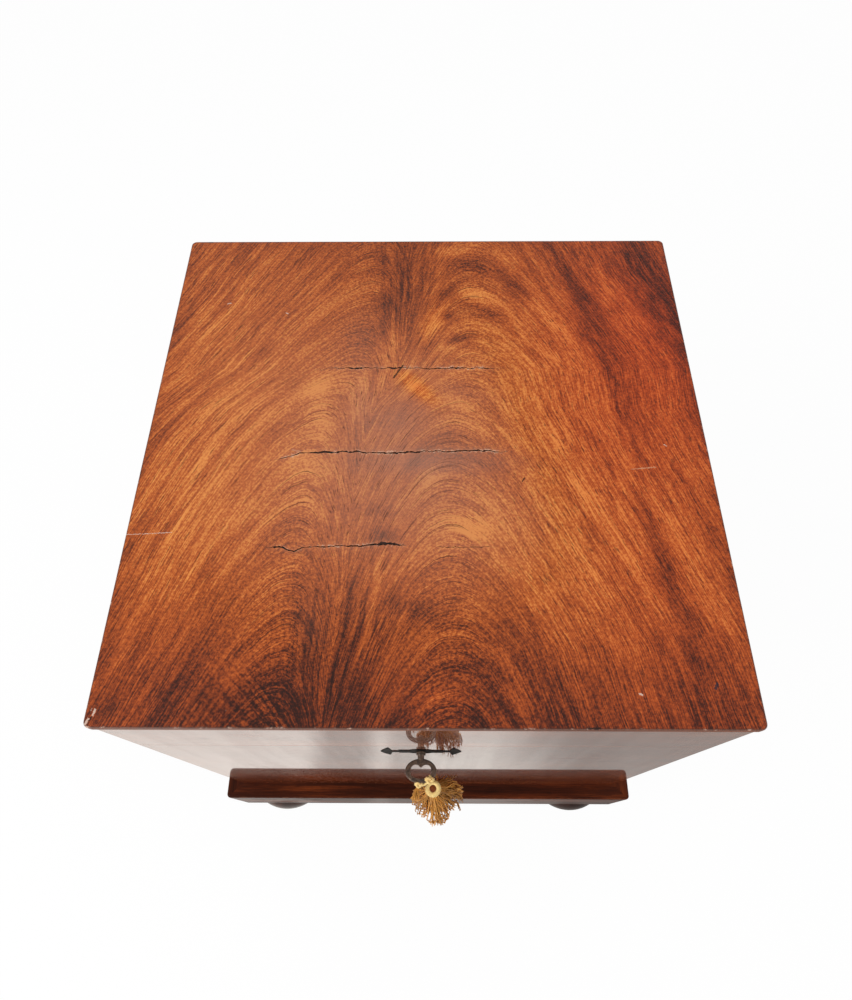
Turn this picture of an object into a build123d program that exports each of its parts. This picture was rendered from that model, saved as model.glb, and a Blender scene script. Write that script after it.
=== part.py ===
"""A square mahogany cellarette with a deep hinged lid, on a plinth and four turned bun feet.

Every piece is modelled about the middle of the case: +X to the right, +Y to the back, +Z up from
the floor. Pieces are shifted along Y as they are written, so that the origin of the finished part
is the bottom centre of its box, tassel included. All lengths are millimetres.
"""

from build123d import *
import math
import os

os.makedirs("parts", exist_ok=True)

# Case and lid
WIDTH = 497.0
DEPTH = 495.0
HEIGHT = 640.0
LID_HEIGHT = 100.0
SEAM = 0.4
BOARD = 22.0
CASE_CORNER = 2.5
LAP = 5.0
CASE_TAILS = 6
LID_TAILS = 2
TAIL_SHARE = 0.55
TAIL_SLOPE_DEG = 9.0

# Lid top: four boards side by side under one sheet of veneer
TOP_OVERHANG = 1.5
TOP_CORNER = 5.0
TOP_BOARD = 6.0
TOP_JOINT_GAP = 0.4
VENEER = 1.2
VENEER_ARRIS = 0.6
# Each crack: distance behind the front edge, left end, right end, widest opening
CRACKS = ((144.0, -125.0, -22.0, 1.3), (235.0, -126.0, 69.0, 1.5), (328.0, -106.0, 69.0, 1.2))
CRACK_WANDER = 0.9
CRACK_STEP = 9.0

# Base
FOOT_HEIGHT = 72.0
FOOT_RADIUS = 60.0
FOOT_SOLE_RADIUS = 38.0
FOOT_COLLAR_RADIUS = 42.0
FOOT_COLLAR = 8.0
FOOT_INSET = 54.0
SPIGOT_RADIUS = 9.5
SPIGOT_LENGTH = 30.0
SPIGOT_FIT = 0.1
PLINTH_HEIGHT = 103.0
PLINTH_PROUD = 18.5
PLINTH_NOSE = 2.5
PLINTH_CORNER = 5.0
CORNER_BLOCK = 80.0
FLOOR_UNDERSIDE = 40.0
FLOOR_BOARD = 16.0
FLOOR_HOUSING = 8.0

# Inside
LINER = 2.0
CAPPING_WIDTH = 8.0
CAPPING_HEIGHT = 12.0
COMPARTMENTS = 3
DIVIDER = 8.0
DIVIDER_HEIGHT = 200.0
HALVING_FIT = 0.1

# Hinges
HINGE_LENGTH = 75.0
HINGE_INSET = 95.0
LEAF_WIDTH = 18.0
LEAF = 2.0
LEAF_GAP = 0.2
KNUCKLE_RADIUS = 3.2
KNUCKLE_STANDOFF = 0.2
KNUCKLES = 5
KNUCKLE_GAP = 0.15
PIN_RADIUS = 1.5
PIN_PLAY = 0.05
OPEN_DEG = 95.0
STOP_PLAY_DEG = 1.5
STOP_REACH = 5.0
STOP_THICK = 2.0
TURN_GAP = 0.4
LIP_CLEAR = 0.5

# Screws
SCREW_HEAD = 3.2
SCREW_SHANK = 1.4
SCREW_HEAD_DEPTH = 1.6
SCREW_LENGTH = 14.0
SCREW_SLOT = 0.6
SCREW_SLOT_DEPTH = 0.5
SCREW_FIT = 0.05
HINGE_SCREWS = 3
HINGE_SCREW_PITCH = 24.0

# Lock and its plate on the lid, which sit a little to the left of the middle
LOCK_X = -4.0
LOCK_WIDTH = 64.0
LOCK_HEIGHT = 60.0
LOCK_DEPTH = 11.0
LOCK_PLATE = 2.0
LOCK_WALL = 1.5
LOCK_FIT = 0.2
LOCK_SCREW_HEIGHTS = (12.0, 42.0)
SELVEDGE_EXTRA = 9.0
SELVEDGE = 2.4
KEYHOLE_BELOW_RIM = 34.0
STAPLE_SPACING = 34.0
STAPLE_SHIFT = 4.0
STAPLE_WIDTH = 5.0
STAPLE_SPAN = 6.6
STAPLE_WALL = 1.5
STAPLE_DROP = 13.0
STAPLE_PLAY = 0.8
LINK_PLATE_WIDTH = 74.0
LINK_PLATE_DEPTH = 13.0
LINK_PLATE = 2.0
LINK_SCREW_MARGIN = 2.0
BOLT_THICK = 3.0
BOLT_BAR = 7.0
BOLT_PLAY = 0.25
BOLT_NOSE = 8.5
BOLT_NOSE_HEIGHT = 5.0
BOLT_FINGER = 5.0
BOLT_THROW = 9.0
BOLT_STUD = 1.6
NOSE_LIFT = 0.75
STUD_BEYOND_BOLT = 1.0

# Key and escutcheon
KEY_SHANK = 2.9
KEY_BORE = 1.7
DRILL_PIN = 1.6
KEY_COLLAR = 4.2
KEY_COLLAR_LENGTH = 2.4
KEY_BOW_WIDTH = 28.0
KEY_BOW_LENGTH = 20.5
KEY_BOW_THICK = 3.4
KEY_BOW_RIM = 3.8
KEY_BOW_START = 6.5
KEY_BOW_SOFT = 1.0
HEART_WIDTH = 18.8
HEART_LENGTH = 9.6
HEART_LOBE = 4.6
HEART_LOBE_APART = 9.4
HEART_LOBE_AHEAD = 2.4
KEY_BIT_REACH = 9.0
KEY_BIT_LENGTH = 6.0
KEY_BIT_THICK = 2.4
BIT_IN_TALON = 2.4
KEY_CLEAR = 0.6
KEYHOLE_SLOT = 3.6
ESCUTCHEON_WIDTH = 73.0
ESCUTCHEON_HEIGHT = 46.0
ESCUTCHEON_THICK = 1.6
ESCUTCHEON_PROUD = 0.4
ESCUTCHEON_BAR = 16.0
ESCUTCHEON_NECK = 9.0
ESCUTCHEON_NECK_LENGTH = 6.0
ESCUTCHEON_BOSS = 13.0
ARROW_LENGTH = 8.0
ARROW_BACK = 2.5
ARROW_SHOULDER = 0.6

# Tassel
LOOP_RADIUS = 3.9
LOOP_CORD = 1.1
KNOT_RADIUS = 4.5
KNOT_AHEAD = 30.6
KNOT_ASIDE = 10.8
HEAD_RADIUS = 7.0
HEAD_TOP_RADIUS = 2.5
HEAD_WAIST_RADIUS = 5.6
HEAD_WIDEST_AT = 6.0
HEAD_HEIGHT = 15.0
HEAD_GAP = 0.4
SKIRT_LENGTH = 112.0
# How far the skirt has spread at each share of its length
SKIRT_FLARE = ((0.0, 0.0), (0.3, 0.42), (0.65, 0.82), (1.0, 1.0))
SKIRT_RADIUS_X = 28.0
SKIRT_RADIUS_Y = 21.0
SKIRT_LEAN_X = 9.5
SKIRT_LEAN_Y = -5.0

# Places that follow from the sizes above
HALF_W = WIDTH / 2
HALF_D = DEPTH / 2
FRONT = -HALF_D
BACK = HALF_D
RIM_Z = HEIGHT - LID_HEIGHT
LID_Z = RIM_Z + SEAM
BOARD_TOP_Z = HEIGHT - VENEER
RAIL_TOP_Z = BOARD_TOP_Z - TOP_BOARD
FLOOR_Z = FOOT_HEIGHT + FLOOR_UNDERSIDE
WELL_Z = FLOOR_Z + FLOOR_BOARD
LINER_TOP_Z = RIM_Z - LOCK_HEIGHT - CAPPING_HEIGHT
WELL_X = HALF_W - BOARD
WELL_Y = HALF_D - BOARD
AXIS_Y = BACK + KNUCKLE_RADIUS + KNUCKLE_STANDOFF
AXIS_Z = RIM_Z + SEAM / 2
HINGE_X = HALF_W - HINGE_INSET
KEY_Z = RIM_Z - KEYHOLE_BELOW_RIM
LOCK_Y = FRONT + BOARD - LOCK_PLATE
LOCK_MID_Y = LOCK_Y - LOCK_DEPTH / 2
FOOT_X = HALF_W + PLINTH_PROUD - FOOT_INSET
FOOT_Y = HALF_D + PLINTH_PROUD - FOOT_INSET
KNOT_Y = FRONT - KNOT_AHEAD
TASSEL_FRONT = KNOT_Y + SKIRT_LEAN_Y - SKIRT_RADIUS_Y
BACK_REACH = BACK + PLINTH_PROUD + max(0.0, FOOT_RADIUS - FOOT_INSET)
FRAME_Y = -(TASSEL_FRONT + BACK_REACH) / 2


def write(name, *solids):
    """Write one piece, or a group of alike pieces, shifted to the origin of the finished part."""
    moved = [Pos(0, FRAME_Y, 0) * solid for solid in solids]
    shape = moved[0] if len(moved) == 1 else Compound(children=moved)
    export_step(shape, f"parts/{name}.step")


def slab(x, y, z):
    """A block between the two values given for each axis."""
    size = [high - low for low, high in (x, y, z)]
    middle = [(high + low) / 2 for low, high in (x, y, z)]
    return Pos(*middle) * Box(*size)


def rod(start, end, radius):
    """A cylinder from one point to another."""
    axis = Vector(*end) - Vector(*start)
    return extrude(Plane(origin=start, z_dir=axis) * Circle(radius), axis.length)


def outline(points):
    """A flat face through the points."""
    return make_face(Polyline(*points, close=True))


def cut(solid, *tools):
    """The solid less each tool, as one solid."""
    for tool in tools:
        solid = solid - tool
    return solid.solids()[0] if len(solid.solids()) == 1 else solid


def side_board(sign, z0, z1, tails):
    """A side with dovetails at both ends, which stop a lap short of the front and the back."""
    x0 = sign * HALF_W
    x1 = sign * (HALF_W - BOARD)
    board = slab(sorted((x0, x1)), (FRONT + BOARD, BACK - BOARD), (z0, z1))
    pitch = (z1 - z0) / tails
    root = pitch * TAIL_SHARE / 2
    reach = BOARD - LAP
    tip = root + reach * math.tan(math.radians(TAIL_SLOPE_DEG))
    for end, way in ((FRONT + BOARD, -1), (BACK - BOARD, 1)):
        for index in range(tails):
            z = z0 + pitch * (index + 0.5)
            shape = outline([
                (end, z - root),
                (end + way * reach, z - tip),
                (end + way * reach, z + tip),
                (end, z + root),
            ])
            board = board + extrude(Plane.YZ.offset(min(x0, x1)) * shape, BOARD)
    return board.solids()[0]


def end_board(way, z0, z1, sides):
    """The front (way -1) or back (way 1), socketed for the tails of both sides."""
    y0 = way * HALF_D
    y1 = way * (HALF_D - BOARD)
    board = slab((-HALF_W, HALF_W), sorted((y0, y1)), (z0, z1))
    corners = board.edges().filter_by(Axis.Z).group_by(Axis.Y)[0 if way < 0 else -1]
    return cut(fillet(corners, CASE_CORNER), *sides)


def four_boards(z0, z1, tails):
    """Front, back, left and right boards, dovetailed together."""
    sides = [side_board(sign, z0, z1, tails) for sign in (-1, 1)]
    ends = [end_board(way, z0, z1, sides) for way in (-1, 1)]
    return {"front": ends[0], "back": ends[1], "left": sides[0], "right": sides[1]}


def mitred_frame(ring, half_x, half_y, width):
    """Four mitred pieces cut from a ring whose outside measures twice half_x by twice half_y."""
    z = ring.bounding_box()
    pieces = {}
    for name, long, far, turn in (
        ("front", half_x, half_y, 0),
        ("right", half_y, half_x, 90),
        ("back", half_x, half_y, 180),
        ("left", half_y, half_x, 270),
    ):
        wedge = outline([
            (-long, -far),
            (long, -far),
            (long - width, -far + width),
            (-long + width, -far + width),
        ])
        prism = extrude(Plane.XY.offset(z.min.Z) * Rot(0, 0, turn) * wedge, z.size.Z)
        pieces[name] = (ring & prism).solids()[0]
    return pieces


def screw(fit=0.0):
    """A slotted countersunk screw, head up at the origin, or with a fit its hole."""
    profile = outline([
        (0, 0),
        (SCREW_HEAD, 0),
        (SCREW_SHANK + fit, -SCREW_HEAD_DEPTH - fit),
        (SCREW_SHANK + fit, -SCREW_LENGTH - fit),
        (0, -SCREW_LENGTH - SCREW_SHANK - fit),
    ])
    body = revolve(Plane.XZ * profile, Axis.Z)
    if fit:
        return body
    slot = slab((-SCREW_HEAD, SCREW_HEAD), (-SCREW_SLOT / 2, SCREW_SLOT / 2), (-SCREW_SLOT_DEPTH, 0))
    return cut(body, slot)


def placed(places, make, fit=0.0):
    """Copies of a screw or its hole at each place, which is a Location."""
    return [place * make(fit) for place in places]


def hinge_screw_places(x, upper):
    """Where the screws of one leaf go: heads at the gap between the leaves."""
    y = BACK - LEAF_WIDTH / 2
    z = AXIS_Z + (LEAF_GAP / 2 if upper else -LEAF_GAP / 2)
    start = -(HINGE_SCREWS - 1) / 2
    turn = Rot(180, 0, 0) if upper else Rot(0, 0, 0)
    return [Pos(x + (start + i) * HINGE_SCREW_PITCH, y, z) * turn for i in range(HINGE_SCREWS)]


def all_hinge_screws(upper, fit=0.0):
    """The screws of both hinges in one row of leaves, or their holes."""
    return [item for x in (-HINGE_X, HINGE_X) for item in placed(hinge_screw_places(x, upper), screw, fit)]


def hinge_recess(x, upper):
    """The shallow bed that one leaf lies in, open at the back and at the seam."""
    half = HINGE_LENGTH / 2
    near = AXIS_Z + LEAF_GAP / 2 + LEAF if upper else AXIS_Z - LEAF_GAP / 2 - LEAF
    return slab((x - half, x + half), (BACK - LEAF_WIDTH, BACK + 1), sorted((near, AXIS_Z)))


def stop_flange(x0, x1, upper, inner):
    """A lip behind the knuckles: the two lips meet when the lid is fully open."""
    angle = (OPEN_DEG + STOP_PLAY_DEG) / 2 * (1 if upper else -1)
    reach = KNUCKLE_RADIUS + STOP_REACH
    thick = STOP_THICK if upper else -STOP_THICK
    face = outline([(inner, 0), (reach, 0), (reach, thick), (inner, thick)])
    lip = extrude(Plane.YZ * Rot(0, 0, angle) * face, x1 - x0)
    return Pos(x0, AXIS_Y, AXIS_Z) * lip


def hinge_leaf(x, upper):
    """One leaf of a stop hinge: plate, its share of the knuckles and its lip."""
    x0 = x - HINGE_LENGTH / 2
    z0 = AXIS_Z + LEAF_GAP / 2 if upper else AXIS_Z - LEAF_GAP / 2 - LEAF
    leaf = slab((x0, x0 + HINGE_LENGTH), (BACK - LEAF_WIDTH, AXIS_Y), (z0, z0 + LEAF))
    step = HINGE_LENGTH / KNUCKLES
    mine = [i for i in range(KNUCKLES) if (i % 2 == 1) == upper]
    for i in range(KNUCKLES):
        a = x0 + i * step + (KNUCKLE_GAP / 2 if i in mine and i > 0 else 0)
        b = x0 + (i + 1) * step - (KNUCKLE_GAP / 2 if i in mine and i < KNUCKLES - 1 else 0)
        if i not in mine:
            a, b = a - KNUCKLE_GAP / 2, b + KNUCKLE_GAP / 2
            leaf = leaf - rod((a, AXIS_Y, AXIS_Z), (b, AXIS_Y, AXIS_Z), KNUCKLE_RADIUS + TURN_GAP)
    for i in mine:
        a = x0 + i * step + (KNUCKLE_GAP / 2 if i > 0 else 0)
        b = x0 + (i + 1) * step - (KNUCKLE_GAP / 2 if i < KNUCKLES - 1 else 0)
        leaf = leaf + rod((a, AXIS_Y, AXIS_Z), (b, AXIS_Y, AXIS_Z), KNUCKLE_RADIUS)
        leaf = leaf + stop_flange(a, b, upper, PIN_RADIUS + PIN_PLAY + LIP_CLEAR)
    leaf = leaf + stop_flange(x0, x0 + HINGE_LENGTH, upper, KNUCKLE_RADIUS + TURN_GAP)
    bore = rod((x0 - 1, AXIS_Y, AXIS_Z), (x0 + HINGE_LENGTH + 1, AXIS_Y, AXIS_Z), PIN_RADIUS + PIN_PLAY)
    return cut(leaf, bore, *placed(hinge_screw_places(x, upper), screw, SCREW_FIT))


def crack_slot(place):
    """The wandering slit that one opened joint leaves in the veneer."""
    behind, left, right, widest = place
    y = FRONT - TOP_OVERHANG + behind
    steps = max(4, round((right - left) / CRACK_STEP))
    edge = {1: [], -1: []}
    for i in range(1, steps):
        t = i / steps
        middle = CRACK_WANDER * math.sin(5.1 * t + behind) * math.sin(math.pi * t)
        half = widest / 2 * math.sqrt(math.sin(math.pi * t)) * (0.8 + 0.2 * math.sin(17 * t + behind))
        for side in edge:
            edge[side].append((left + (right - left) * t, y + middle + side * half))
    points = [(left, y)] + edge[1] + [(right, y)] + edge[-1][::-1]
    return extrude(Plane.XY.offset(BOARD_TOP_Z - 1) * outline(points), VENEER + 2)


def top_plan(z0, thick):
    """The plan of the lid top, with rounded corners, as a plate."""
    plan = RectangleRounded(WIDTH + 2 * TOP_OVERHANG, DEPTH + 2 * TOP_OVERHANG, TOP_CORNER)
    return extrude(Plane.XY.offset(z0) * plan, thick)


def lid_veneer():
    """The single sheet of figured veneer, eased at its top edge and cracked over the joints."""
    sheet = top_plan(BOARD_TOP_Z, VENEER)
    sheet = fillet(sheet.edges().group_by(Axis.Z)[-1], VENEER_ARRIS)
    return cut(sheet, *[crack_slot(crack) for crack in CRACKS])


def top_boards():
    """The boards under the veneer, split where the cracks are."""
    edge = FRONT - TOP_OVERHANG
    joints = [edge] + [edge + crack[0] for crack in CRACKS] + [BACK + TOP_OVERHANG]
    plate = top_plan(RAIL_TOP_Z, TOP_BOARD)
    boards = []
    for i, (near, far) in enumerate(zip(joints, joints[1:])):
        near = near + (TOP_JOINT_GAP / 2 if i else 0)
        far = far - (TOP_JOINT_GAP / 2 if i < len(CRACKS) else 0)
        strip = slab((-WIDTH, WIDTH), (near, far), (RAIL_TOP_Z, BOARD_TOP_Z))
        boards.append((plate & strip).solids()[0])
    return boards


def foot(x, y):
    """A turned bun foot with its collar and the spigot that goes up into a corner block."""
    bulge_top = FOOT_HEIGHT - FOOT_COLLAR
    middle = bulge_top / 2
    side = ThreePointArc((FOOT_SOLE_RADIUS, 0), (FOOT_RADIUS, middle), (FOOT_SOLE_RADIUS, bulge_top))
    spigot_top = FOOT_HEIGHT + SPIGOT_LENGTH
    rest = Polyline(
        (FOOT_SOLE_RADIUS, bulge_top),
        (FOOT_COLLAR_RADIUS, bulge_top),
        (FOOT_COLLAR_RADIUS, FOOT_HEIGHT),
        (SPIGOT_RADIUS, FOOT_HEIGHT),
        (SPIGOT_RADIUS, spigot_top),
        (0, spigot_top),
        (0, 0),
        (FOOT_SOLE_RADIUS, 0),
    )
    turned = revolve(Plane.XZ * make_face([side, rest]), Axis.Z)
    return Pos(x, y, 0) * turned


def corner_block(sx, sy):
    """The block glued into one corner under the floor, bored for a foot's spigot."""
    x = sorted((sx * WELL_X, sx * (WELL_X - CORNER_BLOCK)))
    y = sorted((sy * WELL_Y, sy * (WELL_Y - CORNER_BLOCK)))
    block = slab(x, y, (FOOT_HEIGHT, FLOOR_Z))
    place = (sx * FOOT_X, sy * FOOT_Y)
    top = FOOT_HEIGHT + SPIGOT_LENGTH + SPIGOT_FIT
    return cut(block, rod((*place, FOOT_HEIGHT - 1), (*place, top), SPIGOT_RADIUS + SPIGOT_FIT))


def plinth():
    """Four mitred plinth boards with a rounded top edge."""
    half_x, half_y = HALF_W + PLINTH_PROUD, HALF_D + PLINTH_PROUD
    ring = extrude(
        Plane.XY.offset(FOOT_HEIGHT) * RectangleRounded(2 * half_x, 2 * half_y, PLINTH_CORNER),
        PLINTH_HEIGHT,
    )
    ring = fillet(ring.edges().group_by(Axis.Z)[-1], PLINTH_NOSE)
    case = RectangleRounded(WIDTH, DEPTH, CASE_CORNER)
    ring = ring - extrude(Plane.XY.offset(FOOT_HEIGHT) * case, PLINTH_HEIGHT)
    return mitred_frame(ring, half_x, half_y, PLINTH_PROUD + CASE_CORNER)


def liner():
    """The lead tray that lines the lower part of the case."""
    tray = slab((-WELL_X, WELL_X), (-WELL_Y, WELL_Y), (WELL_Z, LINER_TOP_Z))
    x, y = WELL_X - LINER, WELL_Y - LINER
    return cut(tray, slab((-x, x), (-y, y), (WELL_Z + LINER, RIM_Z)))


def capping():
    """Four mitred strips that cover the top edge of the liner, just below the lock."""
    x, y = WELL_X - CAPPING_WIDTH, WELL_Y - CAPPING_WIDTH
    ring = slab((-WELL_X, WELL_X), (-WELL_Y, WELL_Y), (LINER_TOP_Z, LINER_TOP_Z + CAPPING_HEIGHT))
    ring = ring - slab((-x, x), (-y, y), (WELL_Z, RIM_Z))
    return mitred_frame(ring, WELL_X, WELL_Y, CAPPING_WIDTH)


def divider_centres(half_clear):
    """Where the dividers stand between two liner walls, at equal spaces."""
    space = (2 * half_clear - (COMPARTMENTS - 1) * DIVIDER) / COMPARTMENTS
    return [-half_clear + (i + 1) * (space + DIVIDER) - DIVIDER / 2 for i in range(COMPARTMENTS - 1)]


def dividers():
    """Boards that cross and are halved together: across from the top, lengthwise from below."""
    x, y = WELL_X - LINER, WELL_Y - LINER
    z0 = WELL_Z + LINER
    z1 = z0 + DIVIDER_HEIGHT
    middle = (z0 + z1) / 2
    half = DIVIDER / 2
    slot = half + HALVING_FIT
    across, along = {}, {}
    for i, yc in enumerate(divider_centres(y)):
        board = slab((-x, x), (yc - half, yc + half), (z0, z1))
        slots = [
            slab((xc - slot, xc + slot), (yc - DIVIDER, yc + DIVIDER), (middle, z1 + 1))
            for xc in divider_centres(x)
        ]
        across[f"divider_across_{i + 1}"] = cut(board, *slots)
    for i, xc in enumerate(divider_centres(x)):
        board = slab((xc - half, xc + half), (-y, y), (z0, z1))
        slots = [
            slab((xc - DIVIDER, xc + DIVIDER), (yc - slot, yc + slot), (z0 - 1, middle))
            for yc in divider_centres(y)
        ]
        along[f"divider_lengthwise_{i + 1}"] = cut(board, *slots)
    return {**across, **along}


def staple_centres():
    """The two loops of the link plate, either side of the middle."""
    return [STAPLE_SHIFT - STAPLE_SPACING / 2, STAPLE_SHIFT + STAPLE_SPACING / 2]


def link_plate_screws():
    """Where the link plate's two screws go, heads down."""
    x = LINK_PLATE_WIDTH / 2 - SCREW_HEAD - LINK_SCREW_MARGIN
    return [Pos(sx * x, LOCK_MID_Y, LID_Z) * Rot(180, 0, 0) for sx in (-1, 1)]


def link_plate():
    """The plate let into the front of the lid, with two loops that drop into the lock."""
    x, y = LINK_PLATE_WIDTH / 2, LINK_PLATE_DEPTH / 2
    plate = slab((-x, x), (LOCK_MID_Y - y, LOCK_MID_Y + y), (LID_Z, LID_Z + LINK_PLATE))
    bottom = LID_Z - STAPLE_DROP
    for xc in staple_centres():
        wide = STAPLE_WIDTH / 2
        outer = STAPLE_SPAN / 2
        inner = outer - STAPLE_WALL
        loop = slab((xc - wide, xc + wide), (LOCK_MID_Y - outer, LOCK_MID_Y + outer), (bottom, LID_Z))
        window = slab(
            (xc - STAPLE_WIDTH, xc + STAPLE_WIDTH),
            (LOCK_MID_Y - inner, LOCK_MID_Y + inner),
            (bottom + STAPLE_WALL, LID_Z),
        )
        plate = plate + cut(loop, window)
    return cut(plate, *placed(link_plate_screws(), screw, SCREW_FIT))


def lock_screws():
    """Where the screws of the lock plate go, heads on the inside of the front board."""
    x = LOCK_WIDTH / 2 + SELVEDGE_EXTRA / 2
    inside = FRONT + BOARD
    foot = RIM_Z - LOCK_HEIGHT
    return [Pos(sx * x, inside, foot + z) * Rot(-90, 0, 0) for sx in (-1, 1) for z in LOCK_SCREW_HEIGHTS]


def lock_plate():
    """Back plate and selvedge of the lock, bent from one strip, slotted for the loops."""
    x = LOCK_WIDTH / 2 + SELVEDGE_EXTRA
    inside = FRONT + BOARD
    plate = slab((-x, x), (LOCK_Y, inside), (RIM_Z - LOCK_HEIGHT, RIM_Z))
    lip = slab((-x, x), (LOCK_Y - LOCK_DEPTH, LOCK_Y), (RIM_Z - SELVEDGE, RIM_Z))
    half_y = STAPLE_SPAN / 2 + STAPLE_PLAY
    half_x = STAPLE_WIDTH / 2 + STAPLE_PLAY
    y = (LOCK_MID_Y - half_y, LOCK_MID_Y + half_y)
    slots = [
        slab((xc - half_x, xc + half_x), y, (RIM_Z - 2 * SELVEDGE, HEIGHT)) for xc in staple_centres()
    ]
    return cut(plate + lip, *slots, *placed(lock_screws(), screw, SCREW_FIT))


def keyhole(y0, y1, clear):
    """The space that the key passes through: a round for the shank and a slot for the bit."""
    radius = KEY_SHANK + clear
    half = KEYHOLE_SLOT / 2
    slot = slab((-half, half), (y0, y1), (KEY_Z - KEY_BIT_REACH - clear, KEY_Z))
    return rod((0, y0, KEY_Z), (0, y1, KEY_Z), radius) + slot


def lock_case():
    """The open box that covers the works, screwed against the back plate."""
    x = LOCK_WIDTH / 2
    y0, y1 = LOCK_Y - LOCK_DEPTH, LOCK_Y
    z0, z1 = RIM_Z - LOCK_HEIGHT, RIM_Z - SELVEDGE
    wall = LOCK_WALL
    case = slab((-x, x), (y0, y1), (z0, z1))
    hollow = slab((-x + wall, x - wall), (y0 + wall, y1 + 1), (z0 + wall, z1 + 1))
    return cut(case, hollow, keyhole(y0 - 1, y0 + wall + 1, KEY_CLEAR))


def bolt_levels():
    """Bottom and top of the bolt's bar, and the middle height of its noses."""
    bar0 = KEY_Z + KEY_BIT_REACH - BIT_IN_TALON
    nose = LID_Z - STAPLE_DROP + STAPLE_WALL + BOLT_NOSE_HEIGHT / 2 + NOSE_LIFT
    return bar0, bar0 + BOLT_BAR, nose


def bolt_studs():
    """The two studs that the bolt slides on, as centre lines from the back plate."""
    bar0, bar1, _ = bolt_levels()
    z = (bar0 + bar1) / 2
    reach = LOCK_MID_Y - BOLT_THICK / 2 - STUD_BEYOND_BOLT
    return [((x, reach, z), (x, LOCK_Y, z)) for x in (-STAPLE_SPACING / 2, STAPLE_SPACING / 2)]


def lock_pins():
    """The drill pin that the hollow key turns on, and the bolt's two studs."""
    start = FRONT + BOARD - LOCK_DEPTH - LOCK_PLATE + LOCK_WALL
    pins = [rod((0, start, KEY_Z), (0, LOCK_Y, KEY_Z), DRILL_PIN)]
    return pins + [rod(a, b, BOLT_STUD) for a, b in bolt_studs()]


def lock_bolt():
    """The sliding bolt, withdrawn: a bar with two hooked fingers, and a talon for the key's bit."""
    bar0, bar1, nose = bolt_levels()
    y0, y1 = LOCK_MID_Y - BOLT_THICK / 2, LOCK_MID_Y + BOLT_THICK / 2
    half = LOCK_WIDTH / 2 - LOCK_WALL - BOLT_THROW / 2 - BOLT_PLAY
    bolt = slab((-half - BOLT_THROW / 2, half - BOLT_THROW / 2), (y0, y1), (bar0, bar1))
    for xc in staple_centres():
        tip = xc - STAPLE_WIDTH / 2 - STAPLE_PLAY
        heel = tip - BOLT_NOSE
        top = nose + BOLT_NOSE_HEIGHT / 2
        bolt = bolt + slab((heel - BOLT_FINGER, heel), (y0, y1), (bar0, top))
        bolt = bolt + slab((heel, tip), (y0, y1), (nose - BOLT_NOSE_HEIGHT / 2, top))
    slots = []
    for start, _ in bolt_studs():
        x, _, z = start
        radius = BOLT_STUD + BOLT_PLAY
        track = slab((x - BOLT_THROW, x), (y0 - 1, y1 + 1), (z - radius, z + radius))
        track = track + rod((x, y0 - 1, z), (x, y1 + 1, z), radius)
        slots.append(track + rod((x - BOLT_THROW, y0 - 1, z), (x - BOLT_THROW, y1 + 1, z), radius))
    swing = math.acos((KEY_BIT_REACH - BIT_IN_TALON) / KEY_BIT_REACH)
    wide = KEY_BIT_REACH * math.sin(swing) - BOLT_THROW * swing / math.pi + KEY_BIT_THICK
    middle = -BOLT_THROW / 2
    talon = slab(
        (middle - wide, middle + wide),
        (y0 - 1, y1 + 1),
        (bar0 - 1, KEY_Z + KEY_BIT_REACH + KEY_CLEAR),
    )
    return cut(bolt, talon, *slots)


def key():
    """The key: hollow shank over the drill pin, bit, collar and a bow with a heart-shaped hole."""
    end = LOCK_Y - BOLT_PLAY
    bow_y = FRONT - KEY_BOW_START
    shank = rod((0, bow_y - 1, KEY_Z), (0, end, KEY_Z), KEY_SHANK)
    collar = FRONT - ESCUTCHEON_PROUD - KEY_CLEAR
    shank = shank + rod((0, collar - KEY_COLLAR_LENGTH, KEY_Z), (0, collar, KEY_Z), KEY_COLLAR)
    bit0 = LOCK_MID_Y - KEY_BIT_LENGTH / 2
    half = KEY_BIT_THICK / 2
    bit = slab((-KEY_BIT_REACH, 0), (bit0, bit0 + KEY_BIT_LENGTH), (KEY_Z - half, KEY_Z + half))
    middle = bow_y - KEY_BOW_LENGTH / 2
    a, b = KEY_BOW_WIDTH / 2, KEY_BOW_LENGTH / 2
    flat = Plane((0, middle, KEY_Z - KEY_BOW_THICK / 2))
    ring = extrude(flat * Ellipse(a, b), KEY_BOW_THICK)
    ring = fillet(ring.edges(), KEY_BOW_SOFT)
    heart_y = HEART_LENGTH / 2 + KEY_BOW_RIM - b
    heart = Pos(0, heart_y) * Ellipse(HEART_WIDTH / 2, HEART_LENGTH / 2)
    for sx in (-1, 1):
        heart = heart + Pos(sx * HEART_LOBE_APART / 2, heart_y + HEART_LOBE_AHEAD) * Circle(HEART_LOBE)
    ring = cut(ring, extrude(flat * heart, KEY_BOW_THICK))
    bore = rod((0, FRONT, KEY_Z), (0, end + 1, KEY_Z), KEY_BORE)
    return cut(shank + bit + ring, bore)


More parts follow.
